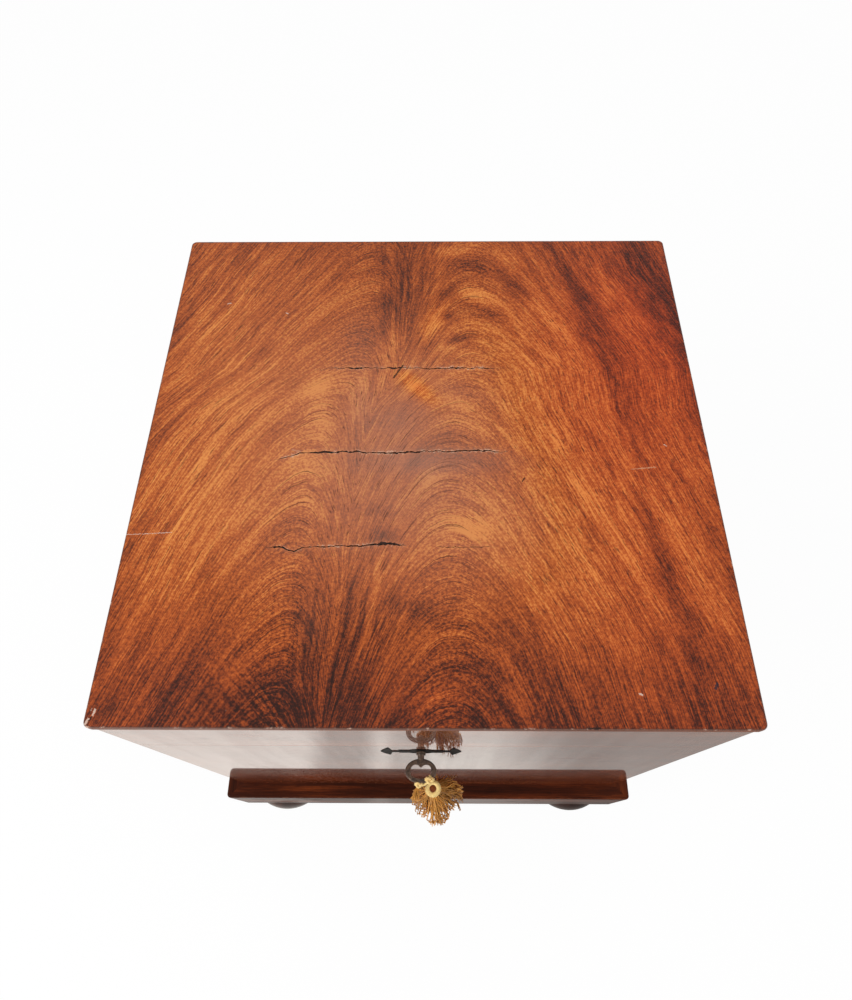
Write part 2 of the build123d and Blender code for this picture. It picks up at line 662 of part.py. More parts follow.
def escutcheon_face():
    """The outline of the inlaid keyhole plate: a bar with a round-shouldered arrow at each end."""
    a, h = ESCUTCHEON_WIDTH / 2, ESCUTCHEON_HEIGHT / 2
    barb = a - ARROW_LENGTH
    back = barb - ARROW_BACK
    neck = back - ESCUTCHEON_NECK_LENGTH
    face = Rectangle(2 * neck, ESCUTCHEON_BAR) + Circle(ESCUTCHEON_BOSS)
    for side in (-1, 1):
        bend = side * (a + barb) / 2
        shoulders = [
            ThreePointArc((side * a, 0), (bend, up * h * ARROW_SHOULDER), (side * barb, up * h))
            for up in (-1, 1)
        ]
        rear = Polyline(
            (side * barb, h),
            (side * back, ESCUTCHEON_NECK / 2),
            (side * back, -ESCUTCHEON_NECK / 2),
            (side * barb, -h),
        )
        face = face + make_face([*shoulders, rear])
        link = Pos(side * (neck + back) / 2, 0) * Rectangle(ESCUTCHEON_NECK_LENGTH + 1, ESCUTCHEON_NECK)
        face = face + link
    return face


def escutcheon(fit=0.0):
    """The inlaid plate, or the recess for it."""
    y0 = FRONT - ESCUTCHEON_PROUD
    plate = extrude(Plane.XZ.offset(-y0) * Pos(0, KEY_Z) * escutcheon_face(), -ESCUTCHEON_THICK)
    if fit:
        return plate
    return cut(plate, keyhole(y0 - 1, y0 + ESCUTCHEON_THICK + 1, KEY_CLEAR))


def tassel_loop():
    """The loop through the key's bow, and the knot in front of it to one side."""
    rim_y = FRONT - KEY_BOW_START - KEY_BOW_LENGTH + KEY_BOW_RIM / 2
    ring = Pos(0, rim_y, KEY_Z) * Rot(0, 90, 0) * Torus(LOOP_RADIUS, LOOP_CORD)
    tie = rod((0, rim_y - LOOP_RADIUS, KEY_Z), (KNOT_ASIDE, KNOT_Y, KEY_Z), LOOP_CORD)
    return (ring + tie + Pos(KNOT_ASIDE, KNOT_Y, KEY_Z) * Sphere(KNOT_RADIUS)).solids()[0]


def tassel_head():
    """The bound head that hangs under the knot."""
    top = KEY_Z - KNOT_RADIUS - HEAD_GAP
    bottom = top - HEAD_HEIGHT
    start, end = (HEAD_TOP_RADIUS, top), (HEAD_WAIST_RADIUS, bottom)
    side = ThreePointArc(start, (HEAD_RADIUS, top - HEAD_WIDEST_AT), end)
    profile = make_face([side, Polyline(end, (0, bottom), (0, top), start)])
    return Pos(KNOT_ASIDE, KNOT_Y, 0) * revolve(Plane.XZ * profile, Axis.Z)


def tassel_skirt():
    """The spreading strands below the head, as one closed shape that leans out from the case."""
    top = KEY_Z - KNOT_RADIUS - HEAD_GAP - HEAD_HEIGHT
    sections = []
    for share, spread in SKIRT_FLARE:
        rx = HEAD_WAIST_RADIUS + (SKIRT_RADIUS_X - HEAD_WAIST_RADIUS) * spread
        ry = HEAD_WAIST_RADIUS + (SKIRT_RADIUS_Y - HEAD_WAIST_RADIUS) * spread
        x, y = KNOT_ASIDE + SKIRT_LEAN_X * spread, KNOT_Y + SKIRT_LEAN_Y * spread
        sections.append(Plane((x, y, top - SKIRT_LENGTH * share)) * Ellipse(rx, ry))
    return loft(sections)


def case_floor():
    """The floor, housed in the four sides."""
    x, y = WELL_X + FLOOR_HOUSING, WELL_Y + FLOOR_HOUSING
    return slab((-x, x), (-y, y), (FLOOR_Z, WELL_Z))


def main():
    floor = case_floor()
    aside = Pos(LOCK_X, 0, 0)
    case = four_boards(FOOT_HEIGHT, RIM_Z, CASE_TAILS)
    x, inside = LOCK_WIDTH / 2 + LOCK_FIT, FRONT + BOARD
    low = LOCK_Y - LOCK_DEPTH - LOCK_FIT
    mortice = slab((-x, x), (low, inside + 1), (RIM_Z - LOCK_HEIGHT, RIM_Z + 1))
    wide = LOCK_WIDTH / 2 + SELVEDGE_EXTRA
    seat = slab((-wide, wide), (LOCK_Y, inside + 1), (RIM_Z - LOCK_HEIGHT, RIM_Z + 1))
    lip = slab((-wide, wide), (LOCK_Y - LOCK_DEPTH, inside), (RIM_Z - SELVEDGE, RIM_Z + 1))
    lock_room = [mortice, seat, lip, escutcheon(1.0), keyhole(FRONT - 1, low + 1, KEY_CLEAR)]
    lock_room += placed(lock_screws(), screw, SCREW_FIT)
    case["front"] = cut(case["front"], floor, *[aside * tool for tool in lock_room])
    beds = {upper: [hinge_recess(x, upper) for x in (-HINGE_X, HINGE_X)] for upper in (False, True)}
    case["back"] = cut(case["back"], floor, *beds[False], *all_hinge_screws(False, SCREW_FIT))
    for name in ("left", "right"):
        case[name] = cut(case[name], floor)
    for name, board in case.items():
        write(f"case_{name}", board)
    write("case_floor", floor)
    for name, board in plinth().items():
        write(f"plinth_{name}", board)
    for side, sx in (("left", -1), ("right", 1)):
        for end, sy in (("front", -1), ("back", 1)):
            write(f"foot_{end}_{side}", foot(sx * FOOT_X, sy * FOOT_Y))
    write("corner_blocks", *[corner_block(sx, sy) for sx in (-1, 1) for sy in (-1, 1)])
    write("lead_liner", liner())
    for name, strip in capping().items():
        write(f"capping_{name}", strip)
    for name, board in dividers().items():
        write(name, board)

    lid = four_boards(LID_Z, RAIL_TOP_Z, LID_TAILS)
    y0, y1 = LOCK_MID_Y - LINK_PLATE_DEPTH / 2, LOCK_MID_Y + LINK_PLATE_DEPTH / 2
    bed = slab((-LINK_PLATE_WIDTH / 2, LINK_PLATE_WIDTH / 2), (y0, y1), (LID_Z - 1, LID_Z + LINK_PLATE))
    link_room = [bed, *placed(link_plate_screws(), screw, SCREW_FIT)]
    lid["front"] = cut(lid["front"], *[aside * tool for tool in link_room])
    lid["back"] = cut(lid["back"], *beds[True], *all_hinge_screws(True, SCREW_FIT))
    for name, board in lid.items():
        write(f"lid_{name}", board)
    for index, board in enumerate(top_boards()):
        write(f"lid_top_board_{index + 1}", board)
    write("lid_veneer", lid_veneer())

    for side, x in (("left", -HINGE_X), ("right", HINGE_X)):
        write(f"hinge_lower_leaf_{side}", hinge_leaf(x, False))
        write(f"hinge_upper_leaf_{side}", hinge_leaf(x, True))
        ends = (x - HINGE_LENGTH / 2, x + HINGE_LENGTH / 2)
        write(f"hinge_pin_{side}", rod((ends[0], AXIS_Y, AXIS_Z), (ends[1], AXIS_Y, AXIS_Z), PIN_RADIUS))
    write("hinge_screws_lower", *all_hinge_screws(False))
    write("hinge_screws_upper", *all_hinge_screws(True))
    for name, solids in {
        "link_plate": [link_plate()],
        "link_plate_screws": placed(link_plate_screws(), screw),
        "lock_plate": [lock_plate()],
        "lock_case": [lock_case()],
        "lock_pins": lock_pins(),
        "lock_screws": placed(lock_screws(), screw),
        "lock_bolt": [lock_bolt()],
        "escutcheon": [escutcheon()],
        "key": [key()],
        "tassel_loop": [tassel_loop()],
        "tassel_head": [tassel_head()],
        "tassel_skirt": [tassel_skirt()],
    }.items():
        write(name, *[aside * solid for solid in solids])


main()
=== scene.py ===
"""Looks of a square mahogany cellarette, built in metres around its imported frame.

The lid top is a modelled sheet of flame veneer with three open cracks, the tassel is made of
single strands, and every other board, plate and fitting gets a finish of its own.
"""

from __future__ import annotations

import logging
import math
from dataclasses import dataclass
from enum import Enum

import bpy
import numpy as np
from bpy.types import Material, Mesh, Node, NodeSocket, NodeTree, Object
from mathutils import Matrix, Vector

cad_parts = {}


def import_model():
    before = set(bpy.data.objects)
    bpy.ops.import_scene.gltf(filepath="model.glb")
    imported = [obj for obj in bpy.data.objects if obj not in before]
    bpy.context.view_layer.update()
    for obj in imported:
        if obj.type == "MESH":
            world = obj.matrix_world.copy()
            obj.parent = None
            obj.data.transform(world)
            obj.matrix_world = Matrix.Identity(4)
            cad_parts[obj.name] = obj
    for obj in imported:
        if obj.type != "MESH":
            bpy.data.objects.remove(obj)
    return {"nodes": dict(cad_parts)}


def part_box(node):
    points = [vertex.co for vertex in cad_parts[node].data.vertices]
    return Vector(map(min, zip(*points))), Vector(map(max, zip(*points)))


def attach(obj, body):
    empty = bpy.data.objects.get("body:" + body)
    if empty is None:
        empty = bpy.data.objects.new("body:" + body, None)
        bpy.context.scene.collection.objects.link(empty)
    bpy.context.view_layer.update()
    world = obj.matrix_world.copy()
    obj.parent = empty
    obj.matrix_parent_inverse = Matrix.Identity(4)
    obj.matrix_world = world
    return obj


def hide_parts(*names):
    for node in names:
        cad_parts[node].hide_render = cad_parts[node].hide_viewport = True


log = logging.getLogger("cellarette")

MM = 0.001
TURN = 2 * math.pi
DEGREES = 57.3  # in one radian
Colour = tuple[float, float, float]
Pairs = tuple[tuple[float, float], ...]
Line = tuple[np.ndarray, float, bool]


def linear(red: int, green: int, blue: int) -> Colour:
    """Turn a colour as seen on a screen, 0 to 255, into the linear values that shaders use."""
    parts = (value / 255 for value in (red, green, blue))
    return tuple(p / 12.92 if p <= 0.04045 else ((p + 0.055) / 1.055) ** 2.4 for p in parts)


class Run(Enum):
    """Which way the grain of a board runs."""

    ALONG_X = "x"
    ALONG_Y = "y"
    ALONG_Z = "z"
    BY_FACE = "by face"


class Field:
    """What one output of a node gives. In a sum, each sign adds one Math node."""

    def __init__(self, graph: Graph, socket: NodeSocket) -> None:
        """Keep the socket, and the graph that further nodes go to."""
        self.graph, self.socket = graph, socket

    def __add__(self, other: object) -> Field:
        """Both together."""
        return self.graph.math("ADD", self, other)

    def __sub__(self, other: object) -> Field:
        """This less another."""
        return self.graph.math("SUBTRACT", self, other)

    def __rsub__(self, other: object) -> Field:
        """Another less this."""
        return self.graph.math("SUBTRACT", other, self)

    def __mul__(self, other: object) -> Field:
        """This times another."""
        return self.graph.math("MULTIPLY", self, other)

    def __truediv__(self, other: object) -> Field:
        """This over another."""
        return self.graph.math("DIVIDE", self, other)

    def __abs__(self) -> Field:
        """This without its sign."""
        return self.graph.math("ABSOLUTE", self)


class Graph:
    """Adds nodes to one node tree and joins them by plain calls."""

    def __init__(self, tree: NodeTree) -> None:
        """Keep the tree that the nodes go to."""
        self.tree = tree

    def node(self, kind: str, feeds: dict | None = None, **settings: object) -> Node:
        """Add one node.

        Args:
            kind: Blender's name of the node type.
            feeds: values or fields for its inputs, by name or number.
            settings: properties of the node itself.

        Returns:
            The new node.
        """
        made = self.tree.nodes.new(kind)
        for name, value in settings.items():
            setattr(made, name, value)
        for key, value in (feeds or {}).items():
            self.feed(made.inputs[key], value)
        return made

    def get(self, kind: str, feeds: dict | None = None, take: int | str = 0,
            **settings: object) -> Field:
        """Add one node as node() does, and return the output that take names."""
        return Field(self, self.node(kind, feeds, **settings).outputs[take])

    def feed(self, socket: NodeSocket, value: object) -> None:
        """Set an input to a value, or join it to another node's output."""
        if isinstance(value, Field):
            self.tree.links.new(value.socket, socket)
        elif isinstance(value, tuple) and socket.type == "RGBA" and len(value) == 3:
            socket.default_value = (*value, 1.0)
        else:
            socket.default_value = value

    def math(self, operation: str, *values: object, clamp: bool = False) -> Field:
        """The result of a Math node on up to three values."""
        feeds = dict(enumerate(values))
        return self.get("ShaderNodeMath", feeds, operation=operation, use_clamp=clamp)

    def vector(self, operation: str, *values: object, take: int = 0) -> Field:
        """A vector from a Vector Math node, or with take 1 a number, such as a length."""
        feeds = dict(enumerate(values))
        return self.get("ShaderNodeVectorMath", feeds, take, operation=operation)

    def scaled(self, vector: object, factor: object) -> Field:
        """A vector times a number."""
        return self.get("ShaderNodeVectorMath", {0: vector, 3: factor}, operation="SCALE")

    def blend(self, share: object, first: object, second: object, how: str = "MIX") -> Field:
        """Two colours mixed, with the share that the second one takes."""
        return self.get("ShaderNodeMix", {0: share, 6: first, 7: second}, 2, data_type="RGBA",
                        blend_type=how, clamp_factor=True)

    def between(self, share: object, first: object, second: object) -> Field:
        """Two numbers mixed, with the share that the second one takes."""
        return self.get("ShaderNodeMix", {0: share, 2: first, 3: second}, data_type="FLOAT",
                        clamp_factor=True)

    def switch(self, share: object, first: object, second: object) -> Field:
        """Two vectors mixed, with the share that the second one takes."""
        return self.get("ShaderNodeMix", {0: share, 4: first, 5: second}, 1, data_type="VECTOR",
                        clamp_factor=True)

    def step(self, value: object, low: float, high: float) -> Field:
        """0 below low, 1 above high, smooth between them. High may be the smaller one."""
        ends = (low, high, 0.0, 1.0) if low <= high else (high, low, 1.0, 0.0)
        feeds = {0: value, **dict(enumerate(ends, 1))}
        return self.get("ShaderNodeMapRange", feeds, interpolation_type="SMOOTHSTEP")

    def ramp(self, share: object, stops: list[tuple[float, Colour]]) -> Field:
        """A colour that changes along the given stops."""
        made = self.node("ShaderNodeValToRGB", {0: share})
        elements = made.color_ramp.elements
        while len(elements) < len(stops):
            elements.new(0.5)
        for element, (place, colour) in zip(elements, stops):
            element.position = place
            element.color = (*colour, 1.0)
        return Field(self, made.outputs[0])

    def noise(self, place: object, scale: object = 1.0, detail: float = 2.0, rough: float = 0.5,
              twist: float = 0.0) -> Field:
        """Noise between 0 and 1 at a place."""
        return self.get("ShaderNodeTexNoise", {
            "Vector": place, "Scale": scale, "Detail": detail, "Roughness": rough,
            "Distortion": twist,
        })

    def push(self, place: object, scale: float) -> Field:
        """A noisy vector, each part from -0.5 to 0.5."""
        feeds = {"Vector": place, "Scale": scale, "Detail": 2.0}
        colour = self.get("ShaderNodeTexNoise", feeds, "Color")
        return self.vector("SUBTRACT", colour, (0.5, 0.5, 0.5))

    def pack(self, x: object, y: object, z: object = 0.0) -> Field:
        """Three numbers as a vector."""
        return self.get("ShaderNodeCombineXYZ", {0: x, 1: y, 2: z})

    def parts(self, vector: object) -> tuple[Field, ...]:
        """The three numbers of a vector."""
        made = self.node("ShaderNodeSeparateXYZ", {0: vector})
        return tuple(Field(self, socket) for socket in made.outputs)

    def group(self, tree: NodeTree, feeds: dict) -> dict[str, Field]:
        """Place a shader group with its own values, and return what it gives, by name."""
        made = self.node("ShaderNodeGroup", feeds, node_tree=tree)
        return {socket.name: Field(self, socket) for socket in made.outputs}

    def place(self) -> Field:
        """The place on the object, in metres."""
        return self.get("ShaderNodeTexCoord", take="Object")

    def bump(self, height: object, strength: float, distance: float) -> Field:
        """A normal from a height from 0 to 1, whose real depth is distance in metres."""
        feeds = {"Height": height, "Strength": strength, "Distance": distance}
        return self.get("ShaderNodeBump", feeds)


def new_group(name: str, inputs: dict[str, str], outputs: dict[str, str],
              kind: str = "Shader") -> tuple[Graph, dict[str, Field], dict[str, NodeSocket]]:
    """Begin a group of nodes.

    Args:
        name: the group's name.
        inputs, outputs: the kind of each socket, by name.
        kind: "Shader" or "Geometry".

    Returns:
        The graph, what its inputs give, and the sockets that take its results, by name.
    """
    tree = bpy.data.node_groups.new(name, kind + "NodeTree")
    for labels, way in ((inputs, "INPUT"), (outputs, "OUTPUT")):
        for label, socket in labels.items():
            tree.interface.new_socket(label, in_out=way, socket_type="NodeSocket" + socket)
    graph = Graph(tree)
    given, result = graph.node("NodeGroupInput"), graph.node("NodeGroupOutput")
    fields = {socket.name: Field(graph, socket) for socket in given.outputs if socket.name}
    return graph, fields, {socket.name: socket for socket in result.inputs if socket.name}


def numbers(*names: str) -> dict[str, str]:
    """Sockets that each carry one number."""
    return dict.fromkeys(names, "Float")


def vectors(*names: str) -> dict[str, str]:
    """Sockets that each carry a vector."""
    return dict.fromkeys(names, "Vector")


class Effects:
    """The shader groups that several finishes share."""

    def __init__(self) -> None:
        """Build each group once."""
        self.grain = self._grain()
        self.board = self._board()
        self.wear = self._wear()
        self.mark = self._mark()
        self.patina = self._patina()

    @staticmethod
    def _grain() -> NodeTree:
        """Growth bands, streaks, fibres and pores, stretched along the first axis of Place."""
        graph, given, out = new_group("wood_grain", vectors("Place") | numbers("Density", "Seed"),
                                      numbers("Band", "Streak", "Fibre", "Pore"))
        seed = given["Seed"]
        dense = graph.scaled(given["Place"], given["Density"])
        place = graph.vector("ADD", dense, graph.pack(seed, seed * 3.7, seed))
        scales = {
            "Band": ((2.2, 24.0, 24.0), 2.0, 0.5),
            "Streak": ((7.0, 150.0, 150.0), 3.0, 0.6),
            "Fibre": ((26.0, 900.0, 900.0), 2.0, 0.6),
            "Pore": ((75.0, 1500.0, 1500.0), 1.0, 0.5),
        }
        for label, (scale, detail, rough) in scales.items():
            stretched = graph.vector("MULTIPLY", place, scale)
            value = graph.noise(stretched, 1.0, detail, rough, 0.15)
            ends = (0.60, 0.70) if label == "Pore" else (0.28, 0.72)
            graph.feed(out[label], graph.step(value, *ends))
        return graph.tree

    @staticmethod
    def _board() -> NodeTree:
        """Swap the first two axes of Place on the faces where a frame's boards run along Y."""
        graph, given, out = new_group(
            "board_run", vectors("Place", "Facing") | numbers("Middle Y"), vectors("Place"))
        x, y, z = graph.parts(given["Place"])
        nx, ny, nz = graph.parts(graph.vector("ABSOLUTE", given["Facing"]))
        side = graph.math("GREATER_THAN", nx, ny)
        mitre = graph.math("GREATER_THAN", abs(x), abs(y - given["Middle Y"]))
        flat = graph.math("GREATER_THAN", nz, 0.7)
        share = graph.between(flat, side, mitre)
        swapped = graph.switch(share, graph.pack(x, y, z), graph.pack(y, x, z))
        graph.feed(out["Place"], swapped)
        return graph.tree

    @staticmethod
    def _wear() -> NodeTree:
        """Where a box is worn: Edge near its edges, Inside away from its faces, Scuff anywhere."""
        graph, given, out = new_group(
            "edge_wear", vectors("Place", "Low", "High") | numbers("Width"),
            numbers("Edge", "Inside", "Scuff"))
        place = given["Place"]
        down = graph.vector("ABSOLUTE", graph.vector("SUBTRACT", place, given["Low"]))
        up = graph.vector("ABSOLUTE", graph.vector("SUBTRACT", given["High"], place))
        dx, dy, dz = graph.parts(graph.vector("MINIMUM", down, up))
        least = graph.math("MINIMUM", dx, graph.math("MINIMUM", dy, dz))
        most = graph.math("MAXIMUM", dx, graph.math("MAXIMUM", dy, dz))
        second = dx + (dy + dz) - (least + most)
        ragged = graph.noise(place, 90.0, 4.0, 0.65)
        ratio = second / (given["Width"] * (ragged * 2.0))
        graph.feed(out["Edge"], graph.step(ratio, 1.2, 0.5))
        graph.feed(out["Inside"], graph.step(least, 0.0025, 0.0045))
        graph.feed(out["Scuff"], graph.step(graph.noise(place, 14.0, 6.0, 0.7), 0.5, 0.72))
        return graph.tree

    @staticmethod
    def _mark() -> NodeTree:
        """A scratch, chip or spot: 1 within Radius of the line from Start to End."""
        graph, given, out = new_group(
            "small_mark", vectors("Place", "Start", "End") | numbers("Radius"), numbers("Mask"))
        push = graph.push(given["Place"], 700.0)
        place = graph.vector("MULTIPLY_ADD", push, (0.002, 0.002, 0.002), given["Place"])
        line = graph.vector("SUBTRACT", given["End"], given["Start"])
        offset = graph.vector("SUBTRACT", place, given["Start"])
        length = graph.vector("DOT_PRODUCT", line, line, take=1)
        ahead = graph.vector("DOT_PRODUCT", offset, line, take=1)
        foot = graph.scaled(line, graph.math("DIVIDE", ahead, length, clamp=True))
        gap = graph.vector("LENGTH", graph.vector("SUBTRACT", offset, foot), take=1)
        graph.feed(out["Mask"], graph.step(gap / given["Radius"], 1.2, 0.6))
        return graph.tree

    @staticmethod
    def _patina() -> NodeTree:
        """Cloudy staining, fine scratches and pits on metal."""
        graph, given, out = new_group("metal_patina", vectors("Place") | numbers("Scale"),
                                      numbers("Cloud", "Scratch", "Pit"))
        place = given["Place"]
        cloud = graph.noise(place, given["Scale"], 6.0, 0.65, 0.4)
        graph.feed(out["Cloud"], graph.step(cloud, 0.38, 0.66))
        fine = graph.vector("MULTIPLY", place, (900.0, 120.0, 2600.0))
        scratch = graph.noise(fine, 1.0, 2.0, 0.5, 0.8)
        graph.feed(out["Scratch"], graph.step(scratch, 0.55, 0.8))
        pits = graph.get("ShaderNodeTexVoronoi", {"Vector": place, "Scale": 420.0}, feature="F1")
        graph.feed(out["Pit"], graph.step(pits, 0.22, 0.05))
        return graph.tree


@dataclass(frozen=True)
class Gloss:
    """How a surface shines: constants that go straight onto the shader's sockets."""

    coat: float = 0.0
    coat_roughness: float = 0.08
    specular: float = 0.5
    sheen: float = 0.0

    def shade(self, graph: Graph, feeds: dict[str, object]) -> None:
        """Join a Principled shader with these constants to the material's output.

        Args:
            graph: the material's graph.
            feeds: what the shader's other sockets take, by name.
        """
        shader = graph.node("ShaderNodeBsdfPrincipled", {
            "Coat Weight": self.coat, "Coat Roughness": self.coat_roughness,
            "Specular IOR Level": self.specular, "Sheen Weight": self.sheen,
        })
        for name, value in feeds.items():
            graph.feed(shader.inputs[name], value)
        graph.node("ShaderNodeOutputMaterial", {0: Field(graph, shader.outputs[0])})


def new_material(name: str) -> tuple[Material, Graph]:
    """An empty node material, and the graph that its nodes are added through."""
    material = bpy.data.materials.new(name)
    material.use_nodes = True
    material.node_tree.nodes.clear()
    return material, Graph(material.node_tree)


def new_object(name: str, data: bpy.types.ID) -> Object:
    """A new object in the scene, at the origin."""
    made = bpy.data.objects.new(name, data)
    bpy.context.collection.objects.link(made)
    return made


def smooth(mesh: Mesh) -> None:
    """Shade all faces of a mesh smooth."""
    for polygon in mesh.polygons:
        polygon.use_smooth = True


@dataclass(frozen=True)
class WoodFinish:
    """A wood whose grain runs straight along its boards.

    Args:
        name: the material's name.
        dark, middle, light: its colours from late growth to early growth.
        worn: the colour where polish and stain have rubbed off.
        gloss: how it shines.
        roughness: of the outer faces; faces inside the box use inner_roughness.
        run: which way the grain runs.
        low, high: corners of the box that the wear follows.
        wear: how far from an edge it is rubbed, in metres.
        density: how fine the grain is, 1 for a board of the case.
        seed: where in the pattern this finish starts.
        unevenness: how much thinner the varnish gets in upright stripes, 0 to 1.
    """

    name: str
    dark: Colour
    middle: Colour
    light: Colour
    worn: Colour
    gloss: Gloss
    roughness: float
    inner_roughness: float
    run: Run
    low: Vector
    high: Vector
    wear: float = 0.0012
    density: float = 1.0
    seed: float = 0.0
    unevenness: float = 0.0

    def _along(self, graph: Graph, effects: Effects, place: Field) -> Field:
        """The place, turned so that its first axis runs along the grain."""
        x, y, z = graph.parts(place)
        if self.run is Run.BY_FACE:
            facing = graph.get("ShaderNodeTexCoord", take="Normal")
            middle = (self.low.y + self.high.y) / 2
            feeds = {"Place": place, "Facing": facing, "Middle Y": middle}
            return graph.group(effects.board, feeds)["Place"]
        if self.run is Run.ALONG_Y:
            return graph.pack(y, x, z)
        return graph.pack(z, x, y) if self.run is Run.ALONG_Z else place

    def build(self, effects: Effects) -> Material:
        """Make the material from the shared groups."""
        material, graph = new_material(self.name)
        place = graph.place()
        along = self._along(graph, effects, place)
        feeds = {"Place": along, "Density": self.density, "Seed": self.seed}
        grain = graph.group(effects.grain, feeds)
        feeds = {"Place": place, "Low": tuple(self.low), "High": tuple(self.high),
                 "Width": self.wear}
        wear = graph.group(effects.wear, feeds)
        tone = grain["Fibre"] * 0.2 + (grain["Streak"] * 0.34 + grain["Band"] * 0.46)
        stops = [(0.08, self.dark), (0.5, self.middle), (0.95, self.light)]
        colour = graph.blend(grain["Pore"] * 0.6, graph.ramp(tone, stops), self.dark)
        dull = graph.blend(0.55, colour, self.worn, "MULTIPLY")
        colour = graph.blend(wear["Inside"] * 0.35, colour, dull)
        outside = 1.0 - wear["Inside"]
        rubbed = wear["Edge"] * outside * 0.65
        polish = graph.between(wear["Scuff"], self.roughness, self.roughness * 1.5 + 0.03)
        rough = rubbed * 0.25 + graph.between(wear["Inside"], polish, self.inner_roughness)
        height = grain["Pore"] * -1.0 + grain["Streak"] * 0.5
        feeds = {"Base Color": graph.blend(rubbed, colour, self.worn), "Roughness": rough,
                 "Normal": graph.bump(height, 0.25, 0.0001)}
        if self.gloss.coat:
            x, y, z = graph.parts(place)
            stripes = graph.noise(graph.pack(x + y, 0.0, z * 0.05), 38.0, 4.0, 0.6)
            thin = graph.step(stripes, 0.35, 0.65) * -self.unevenness + 1.0
            feeds["Coat Weight"] = outside * self.gloss.coat * thin
        self.gloss.shade(graph, feeds)
        return material


@dataclass(frozen=True)
class MetalFinish:
    """A metal with cloudy patina, scratches and pits.

    Args:
        name: the material's name.
        bright, stained: its clean colour, and the colour of its patina.
        roughness: where it is clean; stained places are rougher.
        metallic: how metallic the clean places are.
        cover: the share of patina, 0 to 1.
        scale: how fine the clouds are, per metre.
        depth: how deep the pits are, in metres.
    """

    name: str
    bright: Colour
    stained: Colour
    roughness: float
    metallic: float = 1.0
    cover: float = 0.6
    scale: float = 60.0
    depth: float = 0.00008

    def build(self, effects: Effects) -> Material:
        """Make the material from the shared groups."""
        material, graph = new_material(self.name)
        patina = graph.group(effects.patina, {"Place": graph.place(), "Scale": self.scale})
        cloud, scratch, pit = patina["Cloud"], patina["Scratch"], patina["Pit"]
        stain = graph.math("MAXIMUM", cloud * self.cover, pit * 0.8)
        colour = graph.blend(stain, self.bright, self.stained)
        Gloss(specular=0.5).shade(graph, {
            "Base Color": graph.blend(scratch * 0.3, colour, self.bright),
            "Metallic": graph.between(stain, self.metallic, self.metallic * 0.35),
            "Roughness": scratch * 0.08 + (stain * 0.3 + self.roughness),
            "Normal": graph.bump(pit * -1.0 + cloud, 0.5, self.depth),
        })
        return material


@dataclass(frozen=True)
class ThreadFinish:
    """Silk thread: its shade changes from strand to strand and along each one.

    Args:
        name: the material's name.
        dark, light: its two ends of colour.
        fineness: of the fibres, per metre.
    """

    name: str
    dark: Colour
    light: Colour
    fineness: float = 1800.0

    def build(self) -> Material:
        """Make the material; the mesh carries the shade of each strand."""
        material, graph = new_material(self.name)
        place = graph.place()
        shade = graph.get("ShaderNodeAttribute", take="Fac", attribute_name="shade")
        blotch = graph.noise(place, 160.0, 3.0, 0.6)
        fibre = graph.noise(place, self.fineness, 2.0, 0.6, 1.0)
        tone = (fibre - 0.5) * 0.4 + (shade * 0.6 + blotch * 0.4)
        Gloss(specular=0.12, sheen=0.04).shade(graph, {
            "Base Color": graph.ramp(tone, [(0.1, self.dark), (0.75, self.light)]),
            "Roughness": graph.between(blotch, 0.55, 0.75),
            "Normal": graph.bump(fibre, 0.6, 0.0002),
        })
        return material


@dataclass(frozen=True)
class Patch:
    """One lighter, darker or redder area of the figure.

    Args:
        x, behind: its middle, in millimetres from the lid's middle and behind its front edge.
        wide, deep: how far it reaches each way before it fades.
        turn: degrees that its long side is turned by.
        tone: how much lighter or darker it is.
        red: how much redder it is; with a minus sign, how far a pale grey-pink veil covers it:
        faded, dusty polish together with a painted sheen in place of the room's reflection.
    """

    x: float
    behind: float
    wide: float
    deep: float
    turn: float
    tone: float
    red: float = 0.0


@dataclass(frozen=True)
class Fan:
    """One burst of dark rays in the plume: its root, the middle direction and the half angle."""

    x: float
    behind: float
    reach: float
    lean: float
    spread: float
    strength: float


@dataclass(frozen=True)
class Crack:
    """An open crack, in millimetres.

    Args:
        behind: distance of its middle line behind the front edge.
        lift: how far the lips stand up.
        openings: places along X and the width of the gap there.
        wander: places along X and how far the line strays there.
    """

    behind: float
    lift: float
    openings: Pairs
    wander: Pairs


